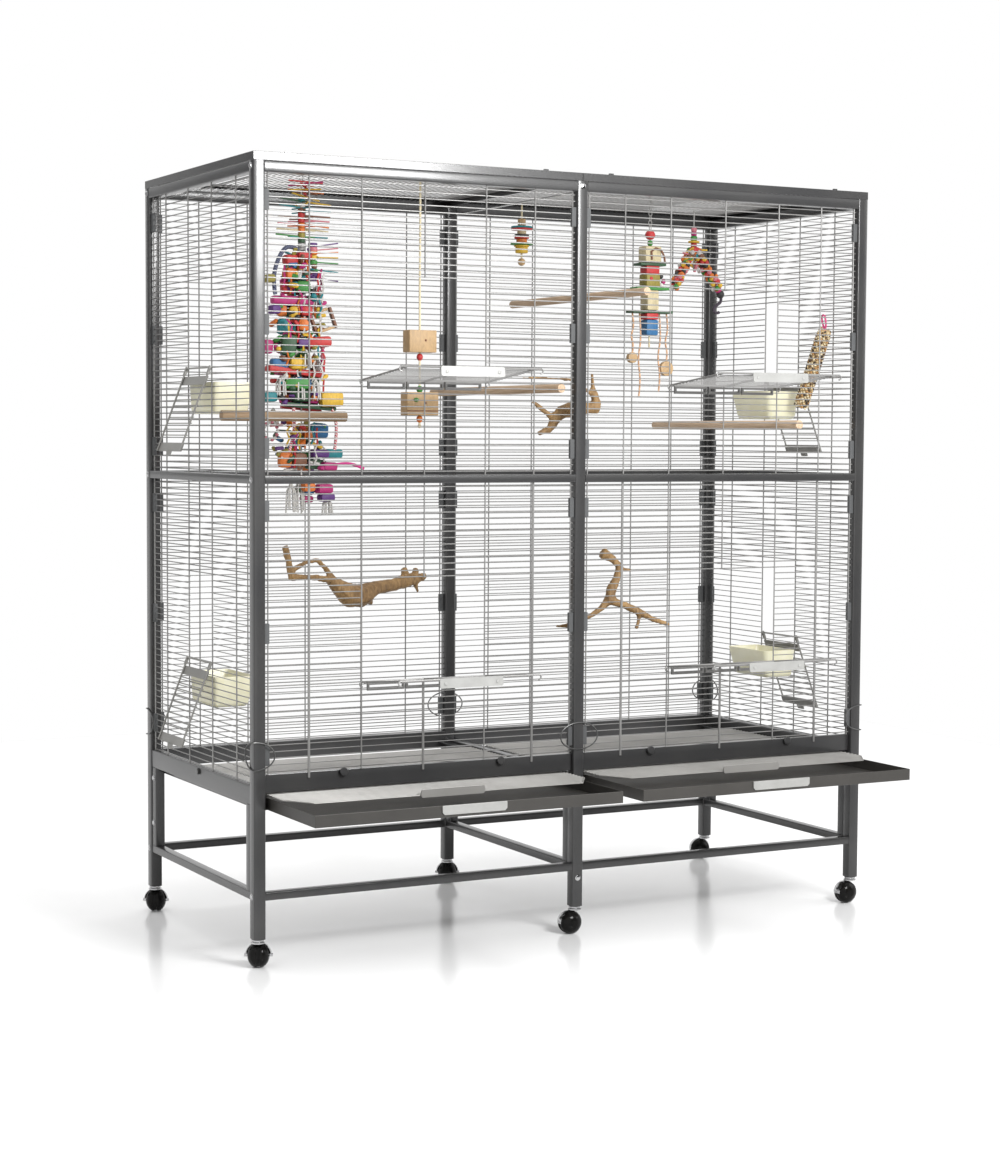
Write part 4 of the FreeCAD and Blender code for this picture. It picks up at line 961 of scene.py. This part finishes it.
bm = dyed_mesh()
wire_ring(bm, from_cord(0, 0, 1620), *hook_ring)
rod(bm, from_cord(0, 0, 1614), from_cord(0, 0, 906), 0.0018, 8)
dye(bm, white)
for i, colour in enumerate(tangle_colours):
    block(bm, from_cord(10, 0, 1612 - 4 * i), (0.078, 0.005, 0.0030), colour, spiral * i,
          random.uniform(-0.16, 0.16))
for i, colour in enumerate(core_colours):
    top = 1578 - 10.6 * i
    disc(bm, from_cord(0, 0, top), from_cord(0, 0, top - 10.2), 0.0076, 16, 0.0012)
    dye(bm, colour)
for left, right, sticks in ((-53, -6, left_sticks), (6, 65, right_sticks)):
    size = ((right - left) / 1000, 0.006, 0.0030)
    for i, (up, colour) in enumerate(sticks):
        middle = from_cord((left + right) / 2, -10 + 4 * i, up)
        block(bm, middle, size, colour, 0.1 - 0.06 * i, random.uniform(0.0, 0.12))
        block(bm, from_cord(0, 0, up - 3), (0.004, 0.060, 0.0026), colour, 0.3 * i)
for i, (up, colour) in enumerate(fan_sticks):
    block(bm, from_cord(46, -12, up), (0.064, 0.005, 0.0026), colour, -0.2, -0.16 + 0.05 * i)
    disc(bm, from_cord(21, -12, up + 4), from_cord(21, -12, up - 5), 0.0100, 16, 0.0015)
    dye(bm, colour)
for i, (left, right, top, low, colour) in enumerate(tower_blocks):
    wide, tall, up = (right - left) / 1000, (top - low) / 1000, (top + low) / 2
    back = (-17, 2, -10)[i % 3] if right - left < 60 else -6
    block(bm, from_cord((left + right) / 2, back, up), (wide, 0.026, tall), colour,
          random.uniform(-0.25, 0.25), random.uniform(-0.10, 0.10), 0.30)
    behind = tower_blocks[(i * 7 + 3) % len(tower_blocks)][4]
    middle = from_cord((left + right) / 5, 16 + 3 * (i % 3), up - 4)
    block(bm, middle, (wide * 0.7, 0.024, tall * 0.9), behind,
          random.uniform(-0.4, 0.4), random.uniform(-0.15, 0.15), 0.30)
for i in range(4):
    a = 0.35 + math.pi / 2 * i
    block(bm, from_cord(46 + 24 * math.cos(a), -8, 1320 + 20 * math.sin(a)),
          (0.006, 0.012, 0.046 - 0.008 * (i % 2)), (brown, raw_wood)[i % 2], 0.0, -a)
for i in range(14):
    a = math.tau * i / 14
    middle = from_cord(-74 + 16 * math.cos(a), -8, 1084 + 19 * math.sin(a))
    bead(bm, middle, 0.0040, (white, pink)[i % 2])
for i in range(250):
    up = random.uniform(1146, 1466) if i < 190 else random.uniform(1002, 1108)
    half = 26 + 34 * min(1.0, (1466 - up) / 110)
    middle = from_cord(random.uniform(-half, half * 0.8), random.uniform(-30, 26), up)
    size = (random.uniform(0.012, 0.030), random.uniform(0.007, 0.013), random.uniform(0.004, 0.011))
    block(bm, middle, size, mixed_colours[i % len(mixed_colours)], random.uniform(0.0, math.pi),
          random.uniform(-1.0, 1.0), 0.3, 1)
for i in range(46):
    up = random.uniform(1190, 1450) if i < 36 else random.uniform(1050, 1105)
    across, back = random.uniform(-52, 44), random.uniform(-30, -8)
    sway = random.uniform(-12, 12)
    strand = ((0, 0, 0), (sway, -4, -14), (sway / 2, -5, -30), (sway, 0, -46))
    tube(bm, [from_cord(across + x, back + y, up + z) for x, y, z in strand], 0.0022, 5)
    dye(bm, strand_colours[i % len(strand_colours)])
for i in range(6):
    bead(bm, from_cord(43, -14, 1262 - 9 * i), 0.0052, (pink, magenta)[i % 2])
for across, back, top, length in rope_tufts:
    for i in range(11):
        a = i * spiral
        x, y = (5 + 4 * (i % 4)) * math.cos(a), (5 + 4 * (i % 4)) * math.sin(a)
        drop = length * random.uniform(0.85, 1.0)
        strand = ((0, 0, 0), (x, y, length * 0.3), (1.2 * x, 1.2 * y, drop))
        tube(bm, [from_cord(across + x, back + y, top - z) for x, y, z in strand], 0.0017, 5)
    dye(bm, white)
toy(bm, "toy_tower_wood", "toy_stick_tower")

# Cords of the large toy: lengths of twisted and striped cotton cord. Three are knotted into its blocks at
# both ends, and the fourth stands out sideways as a free tail.


def cord_finish(name, first, second, twist):
    finish, tree = new_finish(name)
    place = put(tree, "TexCoord").outputs["Object"]
    lay = put(tree, "TexWave", {"Vector": place, "Scale": twist, "Distortion": 1.5, "Detail": 1.0},
              bands_direction="DIAGONAL").outputs["Fac"]
    relief = put(tree, "Bump", {"Height": lay, "Strength": 0.5, "Distance": 0.0008})
    coat(tree, Base_Color=ramp(tree, lay, (0.35, first), (0.65, second)),
         Roughness=level(tree, lay, 0.70, 0.90), Normal=relief.outputs["Normal"])
    return finish


def hang_cord(name, body, finish, points, thick):
    line = bpy.data.curves.new(name, "CURVE")
    line.dimensions = "3D"
    line.bevel_depth = thick / 2
    line.bevel_resolution = 3
    line.use_fill_caps = True
    run = line.splines.new("NURBS")
    run.points.add(len(points) - 1)
    for knot, point in zip(run.points, points):
        knot.co = (*point, 1.0)
    run.order_u = 3
    run.use_endpoint_u = True
    run.resolution_u = 12
    line.materials.append(finish)
    made = bpy.data.objects.new(name, line)
    bpy.context.scene.collection.objects.link(made)
    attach(made, body)


blue_stripe = cord_finish("blue_striped_cord", (0.004, 0.007, 0.035), (0.13, 0.14, 0.20), 120.0)
red_stripe = cord_finish("red_striped_cord", (0.55, 0.03, 0.08), (0.72, 0.66, 0.62), 110.0)
magenta_twist = cord_finish("magenta_cord", (0.42, 0.02, 0.16), (0.60, 0.05, 0.24), 260.0)
tower_cords = (("blue_cord", blue_stripe, 0.0090, "object", "hanging",
                ((-12, -10, 1468), (-34, -14, 1476), (-52, -16, 1462), (-66, -16, 1430), (-70, -14, 1400),
                 (-64, -10, 1372))),
               ("red_cord", red_stripe, 0.0070, "object", "hanging",
                ((-24, -14, 1134), (-22, -16, 1104), (-26, -18, 1070), (-36, -16, 1036))),
               ("magenta_cord", red_stripe, 0.0070, "object", "hanging",
                ((66, -8, 1136), (76, -10, 1110), (78, -10, 1080), (74, -8, 1044))),
               ("magenta_tail", magenta_twist, 0.0065, "knot", "loose",
                ((60, -14, 1010), (88, -16, 1016), (116, -16, 1014), (140, -14, 1004))))
for name, finish, thick, far_end, lay, points in tower_cords:
    hang_cord(name, "toy_stick_tower", finish, [from_cord(*point) for point in points], thick)

# Wood block toy: two blocks of raw wood with dyed beads between them, threaded on a cotton rope. The rope
# hangs from the roof by a wire ring and is knotted under the lowest bead.
rope = cord_finish("cotton_rope", (0.50, 0.42, 0.26), (0.68, 0.61, 0.44), 300.0)
blocks = Vector((-0.3154, -0.0745, 0.0))
upper_block, lower_block = 1.2752, 1.1432
block_sizes = {upper_block: (0.064, 0.034, 0.047), lower_block: (0.074, 0.034, 0.049)}
block_beads = ((1.242, red), (1.174, green), (1.111, orange))
knot_z = 1.096
hook_z = 1.6195
rope_run = ((0.0, 1.6140), (0.0005, 1.540), (-0.0005, 1.400), (0.0, 1.300), (0.0, 1.200), (0.0, 1.0980))
rope_thick = 0.0046


def hung(cord, up, across=0.0, back=0.0):
    return cord + Vector((across, back, up))


bm = dyed_mesh()
for up, size in block_sizes.items():
    block(bm, hung(blocks, up), size, raw_wood, 0.0, 0.0, 0.05)
    if up == lower_block:
        block(bm, hung(blocks, up - 0.015, 0.0, -0.0166), (0.073, 0.002, 0.0025), brown)
        bead(bm, hung(blocks, up + 0.008, -0.016, -0.0165), 0.0070, green, 0.0045)
    # The small brown beads on the front and the right side of the blocks are painted shade: they stand for
    # drilled holes, drawn as dark dots instead of recesses.
    bead(bm, hung(blocks, up + 0.002, 0.006, -0.0168), 0.0026, brown)
    bead(bm, hung(blocks, up + 0.008, 0.0312, 0.004), 0.0030, brown)
for up, colour in block_beads:
    bead(bm, hung(blocks, up), 0.0070, colour, 0.0080)
bead(bm, hung(blocks, knot_z), 0.0042, cream)
wire_ring(bm, hung(blocks, hook_z), *hook_ring)
toy(bm, "toy_blocks_wood", "toy_wood_blocks")
hang_cord("blocks_rope", "toy_wood_blocks", rope, [hung(blocks, up, sway) for sway, up in rope_run],
          rope_thick)

# Disc toy: dyed discs and raw cylinders turned from wood, stacked over a ball on a string that is looped over
# the tie rod. The pieces are given from the top by their radius and height.
stack = Vector((0.0, 0.0555, 0.0))
stack_top = 1.5925
first_disc = 0.034
stack_ball = 0.0088
string_run = (stack_top, 1.580, 1.557)
string_thick = 0.0040
disc_pieces = ((0.009, 0.016, raw_wood), (0.024, 0.0045, teal), (0.024, 0.0045, red), (0.010, 0.009, cream),
               (0.0165, 0.005, black), (0.0165, 0.005, red), (0.012, 0.009, orange), (0.025, 0.0045, green),
               (0.017, 0.0045, yellow), (0.014, 0.014, yellow), (0.0025, 0.010, cream))
bm = dyed_mesh()
top = stack_top - first_disc
for radius, tall, colour in disc_pieces:
    disc(bm, hung(stack, top), hung(stack, top - tall * 0.96), radius, 28, min(0.0015, tall / 3))
    dye(bm, colour)
    top -= tall
bead(bm, hung(stack, top - 0.009), stack_ball, raw_wood)
toy(bm, "toy_disc_wood", "toy_disc_stack")
hang_cord("stack_string", "toy_disc_stack", rope, [hung(stack, up) for up in string_run],
          string_thick)

# Tiered toy: beads, blocks and planks of dyed wood, threaded under each other below a chain of wire links.
# Leather laces hang from the lowest plank, two of them with a slice of branch at the end. Tiers are given by
# width, depth, height and colour, laces by their place, length and slice.
lace = cord_finish("leather_lace", (0.36, 0.20, 0.11), (0.50, 0.31, 0.19), 40.0)
planks = Vector((0.2755, -0.0425, 0.0))
plank_top = 1.5392
chain_links = 8
chain_pitch = 0.0107
chain_link = (0.0040, 0.0066, 0.0010)
tier_pieces = ((0.024, 0.024, 0.022, red), (0.013, 0.013, 0.014, green), (0.042, 0.034, 0.038, cream),
               (0.066, 0.034, 0.006, dark_green), (0.034, 0.030, 0.018, red), (0.036, 0.034, 0.030, olive),
               (0.084, 0.034, 0.006, green), (0.030, 0.034, 0.046, cream), (0.104, 0.034, 0.006, dark_green),
               (0.030, 0.030, 0.014, red), (0.030, 0.030, 0.036, blue))
bead_tiers = 2
strap_tier, strap_y = 2, -0.019
strap = ((-0.006, -0.012), (-0.008, 0.006), (0.004, 0.014), (0.018, 0.010), (0.026, -0.004), (0.028, -0.017))
button_tier, button_y = 5, -0.014
buttons = ((0.021, 0.010, black), (0.027, -0.002, magenta), (0.022, -0.010, white), (-0.006, 0.004, red))
laces = ((-0.045, 0.092, 0.016), (-0.026, 0.186, 0.0), (0.026, 0.176, 0.0), (0.045, 0.112, 0.022))
lace_sway = ((0.0, 0.0), (0.3, 0.006), (0.55, -0.004), (0.8, 0.005), (1.0, 0.0))
lace_thick = 0.0040
bm = dyed_mesh()
for i in range(chain_links):
    wire_ring(bm, hung(planks, hook_z - chain_pitch * i), *chain_link, math.pi / 2 * (i % 2))
up = plank_top
for i, (wide, deep, tall, colour) in enumerate(tier_pieces):
    middle = up - tall / 2
    if i < bead_tiers:
        bead(bm, hung(planks, middle), wide / 2, colour, tall / 2)
    else:
        block(bm, hung(planks, middle), (wide, deep, tall * 0.97), colour, 0.0, 0.0, 0.10)
    if i == strap_tier:
        tube(bm, [hung(planks, middle + z, x, strap_y) for x, z in strap], 0.0024, 6)
        dye(bm, brown)
    if i == button_tier:
        for x, z, tint in buttons:
            bead(bm, hung(planks, middle + z, x, button_y), 0.0055, tint)
    up -= tall
rod(bm, hung(planks, up), hung(planks, up - 0.026), 0.0020, 8)
dye(bm, cream)
lace_top = up + tier_pieces[-1][2] + tier_pieces[-2][2]
for shift, length, slice_high in laces:
    if slice_high:
        middle = lace_top - length - slice_high / 2
        front, rear = (hung(planks, middle, shift, back) for back in (-0.006, 0.006))
        disc(bm, front, rear, slice_high * 0.75, 20, 0.001)
        dye(bm, raw_wood)
toy(bm, "toy_plank_wood", "toy_plank_tiers")
for i, (shift, length, slice_high) in enumerate(laces):
    run = [hung(planks, lace_top - length * part, shift + sway) for part, sway in lace_sway]
    hang_cord("plank_lace_" + str(i), "toy_plank_tiers", lace, run, lace_thick)

# Bead toy: two legs of bright wooden beads and strips of strap under a string of larger beads, on a rod that
# is hooked over the roof wires. A black cord with two balls hangs from the right leg.
black_twist = cord_finish("black_cord", (0.020, 0.016, 0.022), (0.060, 0.045, 0.065), 220.0)
loops = Vector((0.608, 0.2915, 0.0))
rod_z = (1.6272, 1.4852)
rod_radius = 0.0016
string_top = 1.5860
string_beads = ((0.0070, 0.010, pink), (0.0070, 0.010, magenta), (0.0080, 0.012, green),
                (0.0140, 0.005, yellow), (0.0075, 0.010, red), (0.0140, 0.014, red), (0.0130, 0.014, teal))
bow_colours = (red, yellow, green, orange, white, brown, yellow, red, black, orange, pink)
joint = 1.5290
leg_slopes = {-1: 0.0070, 1: 0.0095}
leg_rings = 7
leg_pitch = 0.0120
ring_beads = 9
leg_bead = 0.0064
strap_count = 18
strap_size = (0.024, 0.007, 0.004)
tail_run = ((0.010, -0.014), (0.014, -0.030), (-0.004, -0.040), (-0.012, -0.052), (-0.002, -0.060),
            (0.006, -0.056))
tail_thick = 0.0075
bm = dyed_mesh()
rod(bm, hung(loops, rod_z[0]), hung(loops, rod_z[1]), rod_radius, 8)
dye(bm, steel)
up = string_top
for radius, tall, colour in string_beads:
    disc(bm, hung(loops, up), hung(loops, up - tall), radius, 20, min(radius, tall) * 0.3)
    dye(bm, colour)
    up -= tall
for hand, slope in leg_slopes.items():
    for i in range(leg_rings):
        middle = hung(loops, joint - 0.008 - leg_pitch * i, hand * (0.010 + slope * i))
        for k in range(ring_beads):
            a = math.tau * k / ring_beads + i
            around = Vector((0.004 * math.sin(3 * k), 0.0125 * math.cos(a), 0.0115 * math.sin(a)))
            bead(bm, middle + around, leg_bead, bow_colours[(3 * i + k) % len(bow_colours)])
for i in range(strap_count):
    a = spiral * i
    middle = hung(loops, joint + 0.004 - 0.0030 * i, 0.026 * math.cos(a), 0.015 * math.sin(1.7 * a))
    block(bm, middle, strap_size, bow_colours[(5 * i + 1) % len(bow_colours)], a, 0.9 * math.sin(a))
tail = hung(loops, joint - 0.090, 0.070)
bead(bm, hung(tail, -0.002, 0.003), 0.0085, magenta)
bead(bm, hung(tail, -0.012, 0.009), 0.0105, black)
toy(bm, "toy_bead_wood", "toy_bead_loops")
hang_cord("bead_tail", "toy_bead_loops", black_twist, [hung(tail, drop, across) for across, drop in tail_run],
          tail_thick)

# Studio: a pale floor in a white surround, two dark cloth flags that keep the left and front faces of the
# tubes deep, a soft key light above the front, a fill from the right and one from overhead.
floor_finish = marked("pale_floor", 3.0, (0.90, 0.90, 0.90), (0.92, 0.92, 0.92), (0.14, 0.20))
flag_cloth = marked("flag_cloth", 8.0, (0.018, 0.018, 0.018), (0.030, 0.030, 0.030), (0.80, 0.95))
floor_middle = (0.2, 0.7, 0.0)
floor_size = (5.2, 5.2)
flags = (("left_flag", (-3.2, 4.6, 2.0), "Y", (2.1, 5.0)), ("front_flag", (2.0, -3.1, 1.1), "X", (4.2, 2.2)))
lights = (("key", (0.35, -2.6, 1.95), (-0.5, 0.0, 1.45), (0.95, 0.75), 95.0),
          ("fill_right", (3.4, -1.4, 2.2), (0.0, 0.0, 0.8), (2.0, 2.0), 30.0),
          ("overhead", (0.2, 0.7, 4.2), (0.2, 0.7, 0.0), (3.5, 3.5), 45.0))


def sheet(name, finish, middle, size, turn=Matrix()):
    bm = bmesh.new()
    place = Matrix.Translation(middle) @ turn @ Matrix.Diagonal((*size, 1.0, 1.0))
    bmesh.ops.create_grid(bm, x_segments=1, y_segments=1, size=0.5, matrix=place)
    made = place_mesh(bm, name, finish)
    made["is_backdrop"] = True
    return made


sheet("studio_floor", floor_finish, floor_middle, floor_size)
for name, middle, axis, size in flags:
    flag = sheet(name, flag_cloth, middle, size, Matrix.Rotation(math.pi / 2, 4, axis))
    flag.visible_camera = False
    flag.visible_diffuse = False
    flag.visible_shadow = False
for name, place, aim, size, power in lights:
    lamp = bpy.data.lights.new(name, "AREA")
    lamp.shape = "RECTANGLE"
    lamp.size, lamp.size_y = size
    lamp.energy = power
    made = bpy.data.objects.new(name, lamp)
    made.location = place
    made.rotation_mode = "QUATERNION"
    made.rotation_quaternion = (Vector(aim) - Vector(place)).to_track_quat("-Z", "Y")
    bpy.context.scene.collection.objects.link(made)
world = bpy.data.worlds.new("surround")
bpy.context.scene.world = world
world.use_nodes = True
tree = world.node_tree
tree.nodes.clear()
white_wall = put(tree, "Background", {"Color": (1.0, 1.0, 1.0, 1.0), "Strength": 1.0})
put(tree, "OutputWorld", {"Surface": white_wall.outputs[0]})

# Camera: it stands where the photograph was taken from, which was found by fitting the edges of the cage. The
# lens comes from the focal length in pixels of the photograph, which is 1168 pixels high.
camera_place = (-2.4477, -4.4381, 1.0777)
yaw, pitch, roll = 0.49017, -0.06526, 0.00557
focal_pixels = 2277.25
photo_pixels = 1168.0
film = 36.0
forward = Vector((math.sin(yaw) * math.cos(pitch), math.cos(yaw) * math.cos(pitch), math.sin(pitch)))
right = Vector((math.cos(yaw), -math.sin(yaw), 0.0))
up = right.cross(forward)
level_right = right * math.cos(roll) + up * math.sin(roll)
level_up = up * math.cos(roll) - right * math.sin(roll)
camera = bpy.data.cameras.new("camera")
camera.sensor_fit = "AUTO"
camera.sensor_width = film
camera.lens = film * focal_pixels / photo_pixels
viewer = bpy.data.objects.new("camera", camera)
turn = Matrix((level_right, level_up, -forward)).transposed().to_4x4()
viewer.matrix_world = Matrix.Translation(camera_place) @ turn
bpy.context.scene.collection.objects.link(viewer)
bpy.context.scene.camera = viewer
bpy.context.scene.view_settings.view_transform = "Standard"

low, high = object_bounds()
